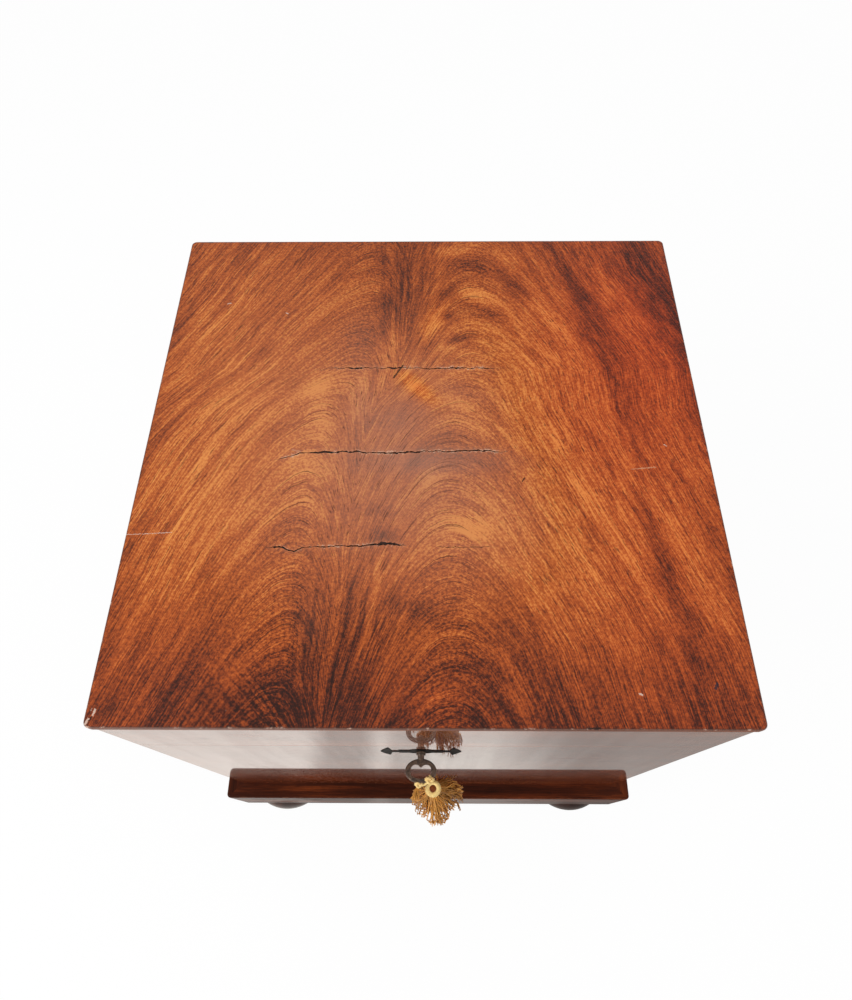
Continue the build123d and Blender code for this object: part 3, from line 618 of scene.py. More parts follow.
@dataclass(frozen=True)
class LidTop:
    """The sheet of flame veneer on the lid, cracked along three joints.

    Args:
        corner: radius of the sheet's corners, in millimetres like all sizes here.
        arris: radius of its upper edge.
        depth: front to back.
        column, row: how far apart the points of its grid are.
        groove: how deep a crack is where it is at least full wide.
        full: the opening from which a crack is that deep.
        lip_width: how far from a crack its lips still stand up.
        follow: how far from a crack the rows of the grid follow its line.
        settle: over how much of that way they come back to a straight line.
        jag: how far apart the larger notches of a crack are.
        axis: distances behind the front edge, and where the plume's middle lies along X there.
        cracks, fans, patches: what was read from the photograph.
    """

    corner: float = 5.0
    arris: float = 0.8
    depth: float = 498.0
    column: float = 1.8
    row: float = 3.0
    groove: float = 0.95
    full: float = 0.9
    lip_width: float = 1.7
    follow: float = 19.0
    settle: float = 15.0
    jag: float = 4.3
    axis: Pairs = (
        (0, -74), (100, -68), (150, -65), (235, -57), (283, -48), (328, -26), (408, -17),
        (500, -12),
    )
    cracks: tuple[Crack, ...] = (
        Crack(144.0, 0.2, (
            (-132, 0), (-125, 1.7), (-112, 1.3), (-106, 2.0), (-100, 0.8), (-60, 1.0), (-42, 1.4),
            (-37, 3.0), (-33, 2.4), (-30, 1.7), (-27, 2.8), (-22, 1.6), (-15, 0), (10, 0),
            (14, 0.6), (50, 0.4), (62, 0),
        ), (
            (-170, 0), (-118, 0), (-108, -4.2), (-101, -0.5), (-60, 1.4), (-30, 3.0), (-18, 1.5),
            (10, 0),
        )),
        Crack(235.0, 0.26, (
            (-134, 0), (-126, 0.7), (-112, 1.2), (-100, 1.0), (-95, 1.9), (-62, 1.7), (-50, 1.0),
            (-32, 1.8), (-10, 1.9), (0, 1.0), (30, 1.3), (52, 1.4), (66, 0.7), (74, 0),
        ), (
            (-175, 0), (-138, -9), (-124, -5), (-108, 0), (-60, 0.6), (-30, -0.3), (0, 1.2),
            (50, 2.0), (80, 0),
        )),
        Crack(328.5, 0.22, (
            (-110, 0), (-98, 0.5), (-74, 0.9), (-70, 1.9), (-62, 1.9), (-56, 0.8), (-36, 0.9),
            (-31, 2.3), (-25, 2.6), (-20, 1.0), (-8, 1.0), (20, 1.4), (30, 1.9), (40, 1.1),
            (58, 1.2), (66, 0.4), (76, 0),
        ), (
            (-140, 0), (-100, -0.6), (-70, 0.8), (-30, 0.4), (-16, 0.9), (20, -0.4), (60, 0.6),
            (90, 0),
        )),
    )
    fans: tuple[Fan, ...] = (
        Fan(-26, 326, 215, 3, 17, 1.0), Fan(-62, 190, 130, -2, 13, 0.7),
        Fan(-68, 84, 160, 2, 15, 0.8), Fan(-73, -14, 190, 10, 32, 1.0),
        Fan(-84, -24, 125, -44, 27, 0.85), Fan(-52, -24, 120, 58, 22, 0.65),
    )
    patches: tuple[Patch, ...] = tuple(Patch(*row) for row in (
        (-28, 432, 20, 46, 4, -0.20), (-38, 402, 9, 24, 6, -0.16), (-3, 408, 8, 26, -8, -0.12),
        (-27, 360, 8, 18, -4, 0.26), (-4, 352, 15, 14, 0, -0.14), (8, 390, 9, 26, -22, 0.17, 0.2),
        (24, 428, 20, 6, 48, -0.26), (22, 393, 8, 7, 0, -0.30), (52, 461, 38, 10, -20, -0.22),
        (88, 432, 22, 10, -48, -0.26), (48, 424, 18, 8, -16, 0.28), (60, 398, 28, 7, -26, -0.24),
        (34, 364, 17, 7, 8, -0.24), (36, 347, 20, 6, -16, 0.22), (20, 482, 17, 9, 0, 0.26),
        (88, 478, 34, 16, -40, 0.14), (-62, 368, 22, 34, 0, -0.20, -0.15),
        (-66, 449, 30, 6, 10, -0.14), (-97, 286, 12, 36, 8, 0.26),
        (-60, 292, 12, 30, 0, 0.12, -0.2),
        (-24, 268, 30, 24, 0, -0.16, -0.25), (-8, 306, 24, 8, -46, 0.20, 0.9),
        (42, 276, 40, 9, -42, 0.16), (38, 300, 30, 9, -20, -0.12, -0.1),
        (8, 226, 72, 13, 0, -0.20, -0.4), (3, 214, 10, 15, -34, 0.26, -0.1),
        (-105, 220, 22, 14, 0, 0.18), (38, 165, 22, 10, -22, 0.30, 0.1),
        (-34, 154, 12, 9, 0, -0.36), (-38, 177, 20, 5, -12, -0.16), (62, 196, 14, 34, 24, 0.10),
        (-88, 76, 17, 34, 8, -0.22, -0.1),
        (-57, 88, 10, 40, -6, -0.18), (-6, 90, 28, 8, -22, -0.18), (-108, 26, 20, 22, 0, -0.12),
        (-72, 22, 34, 26, 0, -0.06), (0, 22, 26, 12, 0, 0.14, 0.1), (45, 70, 34, 26, -30, -0.10),
        (230, 290, 130, 330, 0, 0.0, 0.4), (-215, 40, 70, 90, 0, -0.07, 0.1),
        (-30, 250, 110, 110, 0, 0.02, -0.75), (-160, 340, 90, 130, 0, 0.03, -0.16),
        (150, 230, 60, 190, 12, 0.09, 0.3), (222, 380, 80, 150, 12, -0.06, 0.5),
        (20, 170, 160, 60, 0, 0.05, -0.3), (-190, 230, 40, 150, -10, 0.06),
        (160, 395, 14, 110, 10, -0.22), (196, 120, 9, 140, 6, -0.18), (234, 440, 20, 80, 14, -0.22),
        (0, -12, 420, 74, 0, -0.36, 0.2), (-262, 250, 22, 300, 0, -0.14),
        (262, 250, 20, 300, 0, -0.18), (0, 512, 400, 60, 0, -0.14),
    ))

    def figure(self, x: np.ndarray, behind: np.ndarray) -> dict[str, np.ndarray]:
        """Where each point lies in the figure.

        Args:
            x: places along X, in millimetres from the middle.
            behind: distances behind the front edge.

        Returns:
            Arrays by name: across and along the grain, turn and reach in a fan, crowd (1 where
            the lines run close together), plume, tone, red.
        """
        s = x - np.interp(behind, *zip(*self.axis))
        a = np.abs(s)
        right = s > 0
        apex = np.where(right, np.interp(behind, (60, 450), (96, 58)),
                        np.interp(behind, (60, 250, 420), (38, 45, 39)))
        steep, bend = np.where(right, 2.6, 2.4), np.where(right, 42.0, 40.0)
        rise = np.where(right, 4.4, 4.0)
        near, beyond = np.minimum(a, apex), np.maximum(a - apex, 0)
        bent = 1 - np.exp(-beyond / bend)
        fall = steep * (beyond - bend * bent) * (1 + 0.0006 * (250 - behind))
        across = behind + fall - rise * (near - near**2 / (2 * apex))
        slope = np.where(a > apex, steep * bent, rise * (1 - near / apex))
        tone, red, plume, turn, reach = (np.zeros_like(x) for _ in range(5))
        for patch in self.patches:
            c, d = math.cos(math.radians(patch.turn)), math.sin(math.radians(patch.turn))
            px, py = x - patch.x, behind - patch.behind
            u, v = (px * c + py * d) / patch.wide, (-px * d + py * c) / patch.deep
            weight = np.exp(-(u**2 + v**2))
            tone += patch.tone * weight
            red += patch.red * weight
        for fan in self.fans:
            px, py = x - fan.x, behind - fan.behind
            distance = np.hypot(px, py)
            angle = np.degrees(np.arctan2(px, py)) - fan.lean
            sideways = np.exp(-1.1 * (angle / fan.spread) ** 2)
            outward = np.clip((fan.reach - distance) / (0.7 * fan.reach), 0, 1)
            weight = fan.strength * sideways * outward * np.clip(distance / 25, 0, 1)
            best = weight > plume
            plume = np.where(best, weight, plume)
            turn = np.where(best, angle / DEGREES * (30 + 0.6 * distance), turn)
            reach = np.where(best, distance + 37 * fan.behind, reach)
        return {
            "across": across, "along": 0.6 * s - 0.9 * behind, "turn": turn, "reach": reach,
            "crowd": np.clip((slope - 0.7) / 1.6, 0, 1), "plume": plume, "tone": tone, "red": red,
        }

    def rows(self) -> tuple[np.ndarray, np.ndarray]:
        """The rows of the grid, close together at each crack.

        Returns:
            Distances behind the front edge, and the number of the crack each follows, or -1.
        """
        near = np.array((0.16, 0.32, 0.48, 0.64, 0.82, 1.05, 1.3, 1.6,
                         2.0, 2.7, 3.9, 5.6, 8.0, 11.0, 15.0, self.follow))
        offsets = np.concatenate((-near[::-1], (0.0,), near))
        places = [self.corner, self.depth - self.corner]
        places += [
            value for value in np.arange(places[0] + 1.0, places[1] - 0.5, self.row)
            if all(abs(value - crack.behind) > self.follow + 1.5 for crack in self.cracks)
        ]
        owners = [-1] * len(places)
        for number, crack in enumerate(self.cracks):
            places.extend(crack.behind + offsets)
            owners.extend([number] * len(offsets))
        order = np.argsort(places)
        return np.array(places)[order], np.array(owners)[order]

    def build(self, effects: Effects) -> Object:
        """Make the sheet, its maps and its finish, and set it in the place of the plain one."""
        low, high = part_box("lid_veneer")
        half = (high.x - low.x) / MM / 2 - self.corner
        xs = np.linspace(-half, half, round(2 * half / self.column) + 1)
        ys, owners = self.rows()
        grid_x, grid_y = np.meshgrid(xs, ys)
        height, lip, groove = (np.zeros_like(grid_x) for _ in range(3))
        rng = np.random.default_rng(11)
        notches = np.arange(-250, 251, self.jag)
        for number, crack in enumerate(self.cracks):
            jag = np.interp(xs, notches, rng.normal(0, 0.52, len(notches)))
            line = np.interp(xs, *zip(*crack.wander)) + (jag + rng.normal(0, 0.24, len(xs)))
            opening = np.interp(xs, *zip(*crack.openings)) * (0.4 + 0.85 * rng.random(len(xs)))
            open_share = np.minimum(1, opening / self.full)
            offset, mine = (ys - crack.behind)[:, None], (owners == number)[:, None]
            fade = np.clip((self.follow - np.abs(offset)) / self.settle, 0, 1)
            grid_y = np.where(mine, grid_y + line * fade, grid_y)
            gap = np.abs(offset) / np.maximum(opening / 2, 1e-6)
            inside = np.clip(1.25 - gap, 0, 1) * (opening > 0.05) * mine
            beside = np.exp(-np.abs(offset) / self.lip_width) * open_share * mine
            raised = crack.lift * beside * np.where(offset > 0, 1.25, 0.6)
            height -= self.groove * open_share * np.minimum(1, inside * 1.6)
            height += raised * (1 - np.minimum(1, inside * 2))
            groove = np.maximum(groove, np.minimum(1, inside * 2.2))
            lip = np.maximum(lip, beside * (1 - np.minimum(1, inside * 2.2)))
        height += 0.07 * np.sin(grid_x / 43.0 + grid_y / 71.0) + 0.05 * np.sin(grid_y / 27.0 + 1.3)
        mesh = self._sheet((grid_x, grid_y, height), lip, groove, low, high)
        sheet = new_object("lid_sheet", mesh)
        sheet.data.materials.append(self._finish(effects, low, high))
        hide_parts("lid_veneer")
        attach(sheet, "lid")
        return sheet

    @staticmethod
    def _border(number: np.ndarray) -> tuple[list[int], np.ndarray]:
        """The points round the grid, each corner's six times, and the way outward from each."""
        sides = (
            (number[0, :], (0.0, -1.0)), (number[:, -1], (1.0, 0.0)),
            (number[-1, ::-1], (0.0, 1.0)), (number[::-1, 0], (-1.0, 0.0)),
        )
        points, ways = [], []
        for side, (run, way) in enumerate(sides):
            turns = [math.radians(90.0 * (side - 1) + 15.0 * step) for step in range(1, 6)]
            points += run.tolist() + [int(run[-1])] * len(turns)
            ways += [way] * len(run) + [(math.cos(angle), math.sin(angle)) for angle in turns]
        return points, np.array(ways)

    def _sheet(self, grids: tuple[np.ndarray, ...], lip: np.ndarray, groove: np.ndarray,
               low: Vector, high: Vector) -> Mesh:
        """Close the grid with a rounded rim and a flat back, and write its maps.

        Args:
            grids: x, distance behind the front edge, and height of each point of the grid.
            lip, groove: how far each point is on a crack's lip, or in a crack.
            low, high: the corners of the sheet that it takes the place of, in metres.

        Returns:
            The mesh, in metres.
        """
        flat = self.corner - self.arris
        profile = [(flat * 0.45, 0.0), (flat * 0.8, 0.0), (flat, 0.0)]
        for angle in (math.radians(30), math.radians(60), math.radians(90)):
            drop = -self.arris * (1 - math.cos(angle))
            profile.append((flat + self.arris * math.sin(angle), drop))
        profile.append((self.corner, -(high.z - low.z) / MM))
        # per rim ring: weight of painted shade, stain and worn spots; 1.0 adds a painted highlight
        worn = (0.0, 0.0, 0.75, 1.0, 0.9, 0.55, 0.3)
        number = np.arange(lip.size).reshape(lip.shape)
        squares = (number[:-1, :-1], number[:-1, 1:], number[1:, 1:], number[1:, :-1])
        faces = np.dstack(squares).reshape(-1, 4).tolist()
        points = [np.column_stack([grid.ravel() for grid in grids])]
        rim = [np.zeros(lip.size)]
        inner, ways = self._border(number)
        base, around = points[0][inner], len(inner)
        for level, ((reach, drop), wear) in enumerate(zip(profile, worn)):
            sunk = base[:, 2] * (1 - reach / self.corner) + drop
            points.append(np.column_stack((base[:, :2] + ways * reach, sunk)))
            rim.append(np.full(around, wear))
            start = lip.size + level * around
            outer = list(range(start, start + around))
            for k in range(around):
                m = (k + 1) % around
                face = (inner[k], outer[k], outer[m], inner[m])
                faces.append(face[:3] if face[0] == face[3] else face)
            inner = outer
        faces.append(inner[::-1])
        places = np.concatenate(points)
        values = self.figure(places[:, 0], places[:, 1])
        spare = np.zeros(len(places) - lip.size)
        values["lip"] = np.concatenate((lip.ravel(), spare))
        values["groove"] = np.concatenate((groove.ravel(), spare))
        values["rim"] = np.concatenate(rim)
        mesh = bpy.data.meshes.new("lid_sheet")
        mesh.from_pydata((places * MM + (0.0, low.y, high.z)).tolist(), [], faces)
        mesh.validate()
        smooth(mesh)
        for label in ("tone", "red", "plume", "crowd", "lip", "groove", "rim"):
            layer = mesh.attributes.new(label, "FLOAT", "POINT")
            layer.data.foreach_set("value", values[label].astype(np.float32))
        corners = np.zeros(len(mesh.loops), np.int32)
        mesh.loops.foreach_get("vertex_index", corners)
        for label, first, second in (("grain", "along", "across"), ("rays", "reach", "turn")):
            layer = mesh.uv_layers.new(name=label)
            pair = np.column_stack((values[first][corners], values[second][corners])) * MM
            layer.data.foreach_set("uv", pair.astype(np.float32).ravel())
        return mesh

    def _finish(self, effects: Effects, low: Vector, high: Vector) -> Material:
        """The polished flame figure, its cracks with painted shade in their gaps, a rim with
        painted shade, a painted highlight and worn spots, and old marks.
        """
        material, graph = new_material("flame_veneer_polish")
        place = graph.place()
        tone, red, plume, crowd, lip, groove, rim = (
            graph.get("ShaderNodeAttribute", take="Fac", attribute_name=label)
            for label in ("tone", "red", "plume", "crowd", "lip", "groove", "rim")
        )
        along, across, _ = graph.parts(graph.get("ShaderNodeUVMap", uv_map="grain"))
        sway = graph.noise(place, 15.0, 3.0, 0.55) - 0.5
        ripple = graph.noise(place, 70.0, 3.0, 0.6) - 0.5
        quiver = graph.noise(place, 260.0, 2.0, 0.6) - 0.5
        across = quiver * 0.002 + (ripple * 0.0025 + (sway * 0.015 + across))
        grain, broad, close, fleck = (
            graph.group(effects.grain, {
                "Place": graph.pack(along * stretch, across * narrow), "Density": dense,
                "Seed": seed,
            })
            for stretch, narrow, dense, seed in (
                (1.3, 1.0, 1.0, 5.0), (1.3, 1.0, 0.5, 9.0), (1.4, 0.36, 1.0, 21.0),
                (1.2, 0.2, 1.0, 33.0),
            )
        )
        fibre = graph.between(crowd, grain["Fibre"], close["Fibre"])
        pore = graph.between(crowd, broad["Pore"], fleck["Pore"])
        plain = tone * (broad["Streak"] * 0.9 + grain["Streak"] * 0.6 + 0.28) + 0.105
        for value, share in (
            (broad["Band"], 0.17), (grain["Band"], 0.09), (broad["Streak"], 0.10),
            (grain["Streak"], 0.12), (close["Streak"], 0.07), (fibre, 0.35),
            (graph.noise(place, 11.0, 3.0, 0.6), 0.12),
        ):
            plain = value * share + plain
        reach, turn, _ = graph.parts(graph.get("ShaderNodeUVMap", uv_map="rays"))
        turn = sway * 0.010 + turn
        long_rays = graph.noise(graph.pack(reach * 6.0, turn * 200.0), 1.0, 3.0, 0.6)
        fine_rays = graph.noise(graph.pack(reach * 22.0, turn * 620.0), 1.0, 2.0, 0.6)
        rays = graph.step(long_rays, 0.34, 0.64) * 0.62 + graph.step(fine_rays, 0.34, 0.66) * 0.38
        fanned = (fibre - 0.5) * 0.2 + (tone * 0.8 + rays * 0.66 + 0.13)
        flow = graph.noise(graph.pack(along * 30.0, across * 60.0), 1.0, 4.0, 0.65)
        blotch = graph.step(flow, 0.43, 0.57) - 0.5
        speck = graph.step(graph.noise(place, 430.0, 3.0, 0.75), 0.36, 0.64) - 0.5
        tone = graph.between(plume * 0.9, plain, fanned) + blotch * 0.10
        colour = graph.ramp(tone + speck * (crowd * -0.12 + 0.34), [
            (0.0, linear(46, 20, 12)), (0.2, linear(86, 36, 18)), (0.42, linear(142, 64, 25)),
            (0.66, linear(186, 92, 37)), (0.95, linear(228, 143, 70)),
        ])
        redder = graph.blend(1.0, colour, linear(250, 190, 170), "MULTIPLY")
        torn = graph.noise(place, 420.0, 3.0, 0.7) - 0.5
        chipped = graph.step(torn * 1.8 + lip, 0.35, 0.7)
        chipped = chipped * graph.step(graph.noise(place, 52.0, 2.0, 0.5), 0.40, 0.62)
        # painted shade: the gaps of the cracks are painted near black
        painted_crack_shade = graph.step(torn * 1.1 + groove, 0.3, 0.75)
        deep = graph.step(graph.noise(place, 240.0, 2.0, 0.6), 0.4, 0.62)
        ragged = graph.step(graph.noise(place, 120.0, 4.0, 0.7), 0.56, 0.7)
        arris = graph.step(rim, 0.92, 1.0)
        for share, tint in (
            # a minus red veils the wood pale grey-pink: faded, dusty polish with a painted sheen
            (red, redder), (red * -0.5, linear(172, 124, 104)), (pore * 0.62, linear(44, 19, 12)),
            (lip * 0.35, linear(196, 134, 98)), (chipped * 0.7, linear(226, 184, 156)),
            (painted_crack_shade, graph.blend(deep, linear(20, 11, 8), linear(62, 34, 22))),
            # the rim is painted darker, painted shade with dark stain; its ragged pale spots are
            # wear
            (rim * 0.8, linear(74, 38, 26)), (rim * ragged, linear(204, 168, 148)),
            # the arris is painted paler: wear with a painted highlight
            (arris * 0.3, linear(206, 176, 158)),
        ):
            colour = graph.blend(share, colour, tint)
        colour, spot = self._marks(graph, effects, place, colour, low, high)
        dull = graph.step(graph.noise(place, 9.0, 5.0, 0.65), 0.42, 0.7)
        rough = graph.math("MAXIMUM", dull * 0.16 + 0.30, lip * 0.6)
        height = spot * -0.8 + (pore * -1.0 + grain["Streak"] * 0.5)
        Gloss(coat=0.25, coat_roughness=0.16, specular=0.15).shade(graph, {
            "Base Color": colour, "Roughness": graph.math("MAXIMUM", rough, spot * 0.7),
            "Normal": graph.bump(height, 0.35, 0.00012),
        })
        return material

    @staticmethod
    def _marks(graph: Graph, effects: Effects, place: Field, colour: Field, low: Vector,
               high: Vector) -> tuple[Field, Field]:
        """Lay scratches, specks and chips over the colour.

        Args:
            graph: the material's graph.
            effects: the shared groups.
            place: the place on the object.
            colour: the wood's colour so far.
            low, high: the sheet's corners.

        Returns:
            The colour with the marks, and a mask of where they are.
        """
        pale, dark, blue = linear(214, 186, 168), linear(30, 16, 12), linear(30, 30, 44)
        spots = None
        for x0, behind0, x1, behind1, radius, tint in (
            (180, 218, 201, 220, 0.5, linear(196, 142, 108)), (-200, 410, -197, 411, 0.6, pale),
            (-140, 398, -138, 397, 0.6, pale), (160, 26, 162, 25, 0.7, pale),
            (212, 243, 214, 242, 0.6, pale), (217, 30, 219, 33, 1.3, blue),
            (84, 206, 86, 209, 0.8, dark), (-250, 155, -212, 157, 0.35, pale),
            (-118, 238, -112, 236, 1.0, linear(190, 128, 96)), (-22, 332, -30, 318, 1.0, dark),
            (-248, 3, -246.6, 6.5, 0.9, pale), (-244, 9, -243, 13, 0.9, pale),
            (-246, 12.5, -245.6, 14, 0.5, pale), (-245.6, 5, -244.6, 8, 0.6, dark),
            (-232, 497, -228, 497, 0.8, dark), (120, 1, 128, 1, 0.8, dark),
        ):
            start, end = (
                (x * MM, low.y + b * MM, high.z) for x, b in ((x0, behind0), (x1, behind1))
            )
            feeds = {"Place": place, "Start": start, "End": end, "Radius": radius * MM}
            mask = graph.group(effects.mark, feeds)["Mask"]
            colour = graph.blend(mask * 0.85, colour, tint)
            spots = mask if spots is None else graph.math("MAXIMUM", spots, mask)
        return colour, spots


@dataclass(frozen=True)
class Tassel:
    """The loop and knot on the key's bow, the bound head and its skirt of strands.

    Args:
        strands: how many the skirt has.
        thread, cord: their radius, in metres like all sizes here.
        wrap: radius of the two wraps round the bow's rim.
        ring_radius, ring_thick: the wound ring on top of the head.
        winds: turns of cord on that ring.
        binds: turns of cord on the neck under it.
        frays: loose ends at the upper knot.
    """

    strands: int = 560
    thread: float = 0.00048
    cord: float = 0.0011
    wrap: float = 0.0024
    ring_radius: float = 0.0049
    ring_thick: float = 0.0020
    winds: int = 34
    binds: int = 14
    frays: int = 30

    def build(self) -> list[Object]:
        """Make all of the tassel and set it in place of its plain solids."""
        cream, gold, core = (
            ThreadFinish(name, linear(*dark), linear(*light)).build() for name, dark, light in (
                ("tassel_cord_silk", (196, 128, 54), (255, 230, 160)),
                ("tassel_strand_silk", (88, 42, 10), (248, 176, 80)),
                ("tassel_core_wood", (92, 34, 16), (186, 110, 48)),
            )
        )
        loop, head, skirt = self._loop(cream, gold), self._head(cream, core), self._skirt(gold)
        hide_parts("tassel_loop")
        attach(loop, "key")
        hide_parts("tassel_head")
        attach(head, "tassel")
        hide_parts("tassel_skirt")
        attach(skirt, "tassel")
        return [loop, head, skirt]

    @staticmethod
    def _tube(name: str, lines: list[Line], material: Material, shade: float = 0.75) -> Object:
        """A mesh of round tubes along smooth lines.

        Args:
            name: the object's name.
            lines: for each tube its points, its radius, and whether it is closed.
            material: its finish.
            shade: how light the thread is, 0 to 1.

        Returns:
            The new object.
        """
        curve = bpy.data.curves.new(name + "_line", "CURVE")
        curve.dimensions = "3D"
        curve.bevel_depth = 1.0
        curve.bevel_resolution = 2
        curve.use_fill_caps = True
        for points, radius, closed in lines:
            spline = curve.splines.new("POLY")
            spline.points.add(len(points) - 1)
            for knot, point in zip(spline.points, points):
                knot.co = (*point, 1.0)
                knot.radius = radius
            spline.use_cyclic_u = closed
        made = settled(name, new_object(name + "_line", curve))
        smooth(made.data)
        made.data.materials.clear()
        made.data.materials.append(material)
        shades = np.full(len(made.data.vertices), shade, np.float32)
        made.data.attributes.new("shade", "FLOAT", "POINT").data.foreach_set("value", shades)
        return made

    def _ply(self, points: np.ndarray, closed: bool, turns: float) -> list[Line]:
        """Two plies that twist round a line, as a cord's are."""
        ahead = np.roll(points, -1, 0) - np.roll(points, 1, 0)
        if not closed:
            ahead[0], ahead[-1] = points[1] - points[0], points[-1] - points[-2]
        ahead /= np.linalg.norm(ahead, axis=1)[:, None]
        side = np.cross(ahead, (0.31, 0.22, 0.93))
        side /= np.linalg.norm(side, axis=1)[:, None]
        up = np.cross(ahead, side)
        angle = np.linspace(0, TURN * turns, len(points), endpoint=not closed)
        plies = []
        for start in (0.0, math.pi):
            swing = np.cos(angle + start)[:, None] * side + np.sin(angle + start)[:, None] * up
            plies.append((points + swing * self.cord * 0.48, self.cord * 0.58, closed))
        return plies

    def _loop(self, cream: Material, gold: Material) -> Object:
        """The cord round the bow's rim, its two knots, the tie between them, the frayed ends."""
        low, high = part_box("tassel_loop")
        key_low, key_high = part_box("key")
        bow_x, z = (key_low.x + key_high.x) / 2, (low.z + high.z) / 2
        axis = np.array((high.x - 0.0045, low.y + 0.0045, z))
        first = np.array((bow_x - 0.0019, key_low.y - 0.0012, z + 0.0006))
        hitch = np.array((bow_x + 0.0078, key_low.y + 0.0024, z + 0.0026))
        out, up = (np.array(way) * self.wrap for way in ((0.46, -0.89, 0.0), (0.0, 0.0, 1.0)))
        t = np.linspace(0, TURN, 40, endpoint=False)[:, None]
        lines = []
        for shift in (-0.0013, 0.0013):
            middle = np.array((hitch[0] + shift, key_low.y + 0.0034 + 0.55 * shift, z))
            lines += self._ply(middle + np.cos(t) * out + np.sin(t) * up, True, 5)
        lines += self._knot(first, 0.0036) + self._knot(hitch, 0.0044)
        sag = (first + hitch) / 2 + (0, -0.0030, -0.0040)
        lines += self._ply(self._curve(first, sag, hitch), False, 3)
        bend, end = axis + (-0.0016, 0.0058, 0.0006), axis + (-0.0008, 0.0038, -0.0034)
        lines += self._ply(self._curve(hitch, bend, end), False, 1)
        rng = np.random.default_rng(8)
        frayed = []
        for _ in range(self.frays):
            away = [rng.uniform(*ends) for ends in (
                (-0.0075, 0.0004), (-0.0120, -0.0035), (-0.016, -0.005),
            )]
            end = first + away
            bend = (first + end) / 2 + rng.normal(0, 0.0008, 3) + (0, -0.0015, 0.0015)
            frayed.append((self._curve(first, bend, end), self.thread, False))
        ends = self._tube("frayed_ends", frayed, gold, 0.3)
        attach(ends, "key")
        return self._tube("key_loop", lines, cream)

    @staticmethod
    def _curve(start: np.ndarray, bend: np.ndarray, end: np.ndarray) -> np.ndarray:
        """Eighteen points on a smooth bend between two ends."""
        t = np.linspace(0, 1, 18)[:, None]
        return (1 - t) ** 2 * start + 2 * t * (1 - t) * bend + t**2 * end

    def _knot(self, middle: np.ndarray, radius: float) -> list[Line]:
        """A small overhand knot of the cord, drawn tight."""
        t = np.linspace(0, TURN, 110, endpoint=False)
        size = (radius - self.cord * 0.5) / 3
        x, y = np.sin(t) + 2 * np.sin(2 * t), 0.62 * (np.cos(t) - 2 * np.cos(2 * t))
        line = size * np.column_stack((x, y, 0.9 * np.sin(3 * t)))
        return self._ply(line + middle, True, 12)

    def _head(self, cream: Material, core: Material) -> Object:
        """The head: a wound ring on top, a bound neck under it, and a dark core in the ring."""
        low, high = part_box("tassel_head")
        x, y = (low.x + high.x) / 2, (low.y + high.y) / 2
        ring_z = high.z - self.ring_thick - 0.0012
        t = np.linspace(0, TURN, self.winds * 12, endpoint=False)
        out = self.ring_radius + self.ring_thick * np.cos(t * self.winds)
        rise = ring_z + self.ring_thick * np.sin(t * self.winds)
        ring = np.column_stack((x + out * np.cos(t), y + out * np.sin(t), rise))
        t = np.linspace(0, 1, self.binds * 16)
        angle = t * TURN * self.binds
        out = np.interp(t, (0, 0.25, 0.6, 1), (0.0048, 0.0058, 0.0054, 0.0050))
        drop = ring_z - 0.0012 + (low.z - ring_z + 0.0012) * t
        neck = np.column_stack((x + out * np.cos(angle), y + out * np.sin(angle), drop))
        head = self._tube("tassel_binding", [(ring, 0.00052, True), (neck, 0.00046, False)], cream)
        turned = lathe([
            (0.0, high.z - 0.0006), (0.0022, high.z - 0.0009), (0.0036, high.z - 0.0022),
            (0.0044, high.z - 0.0048), (0.0052, high.z - 0.0075), (0.0050, low.z + 0.0006),
            (0.0, low.z),
        ], 20)
        turned.transform(Matrix.Translation((x, y, 0)))
        turned.materials.append(core)
        plug = new_object("tassel_core", turned)
        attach(plug, "tassel")
        return head

    def _skirt(self, material: Material) -> Object:
        """The strands, grown by a geometry tree from the head's lower end."""
        low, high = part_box("tassel_skirt")
        head_low, head_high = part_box("tassel_head")
        x, y = (head_low.x + head_high.x) / 2, (head_low.y + head_high.y) / 2
        lean = ((low.x + high.x) / 2 - x - 0.001, (low.y + high.y) / 2 - y + 0.0025, 0.0)
        return grow("tassel_strands", strand_tree(), {
            "Strands": self.strands, "Lock": 7, "Root": (x, y, high.z), "Root radius": 0.0044,
            "Length": high.z - low.z, "Reach X": (high.x - low.x) / 2,
            "Reach Y": (high.y - low.y) / 2 + 0.0030, "Lean": lean, "Thread": self.thread,
            "Curl": 0.0042, "Seed": 4, "Finish": material,
        })


def lathe(profile: list[tuple[float, float]], sides: int) -> Mesh:
    """A turned shape whose ends are on the axis.

    Args:
        profile: radius and height of each ring, from the top; the first and last radius are 0.
        sides: how many sides each ring has.

    Returns:
        The closed mesh, its faces outward.
    """
    turns = [TURN * k / sides for k in range(sides)]
    points = [(0.0, 0.0, profile[0][1])]
    points += [(r * math.cos(a), r * math.sin(a), z) for r, z in profile[1:-1] for a in turns]
    points.append((0.0, 0.0, profile[-1][1]))
    end = len(points) - 1 - sides
    faces: list[tuple[int, ...]] = []
    for k in range(sides):
        m = (k + 1) % sides
        faces.append((0, 1 + k, 1 + m))
        for a in range(1, end, sides):
            faces.append((a + k, a + sides + k, a + sides + m, a + m))
        faces.append((end + k, end + sides, end + m))
    mesh = bpy.data.meshes.new("turned")
    mesh.from_pydata(points, [], faces)
    smooth(mesh)
    return mesh


def settled(name: str, holder: Object) -> Object:
    """What a curve or a modified object gives, kept as a plain mesh in the holder's stead."""
    depsgraph = bpy.context.evaluated_depsgraph_get()
    mesh = bpy.data.meshes.new_from_object(holder.evaluated_get(depsgraph))
    bpy.data.objects.remove(holder)
    mesh.name = name
    return new_object(name, mesh)


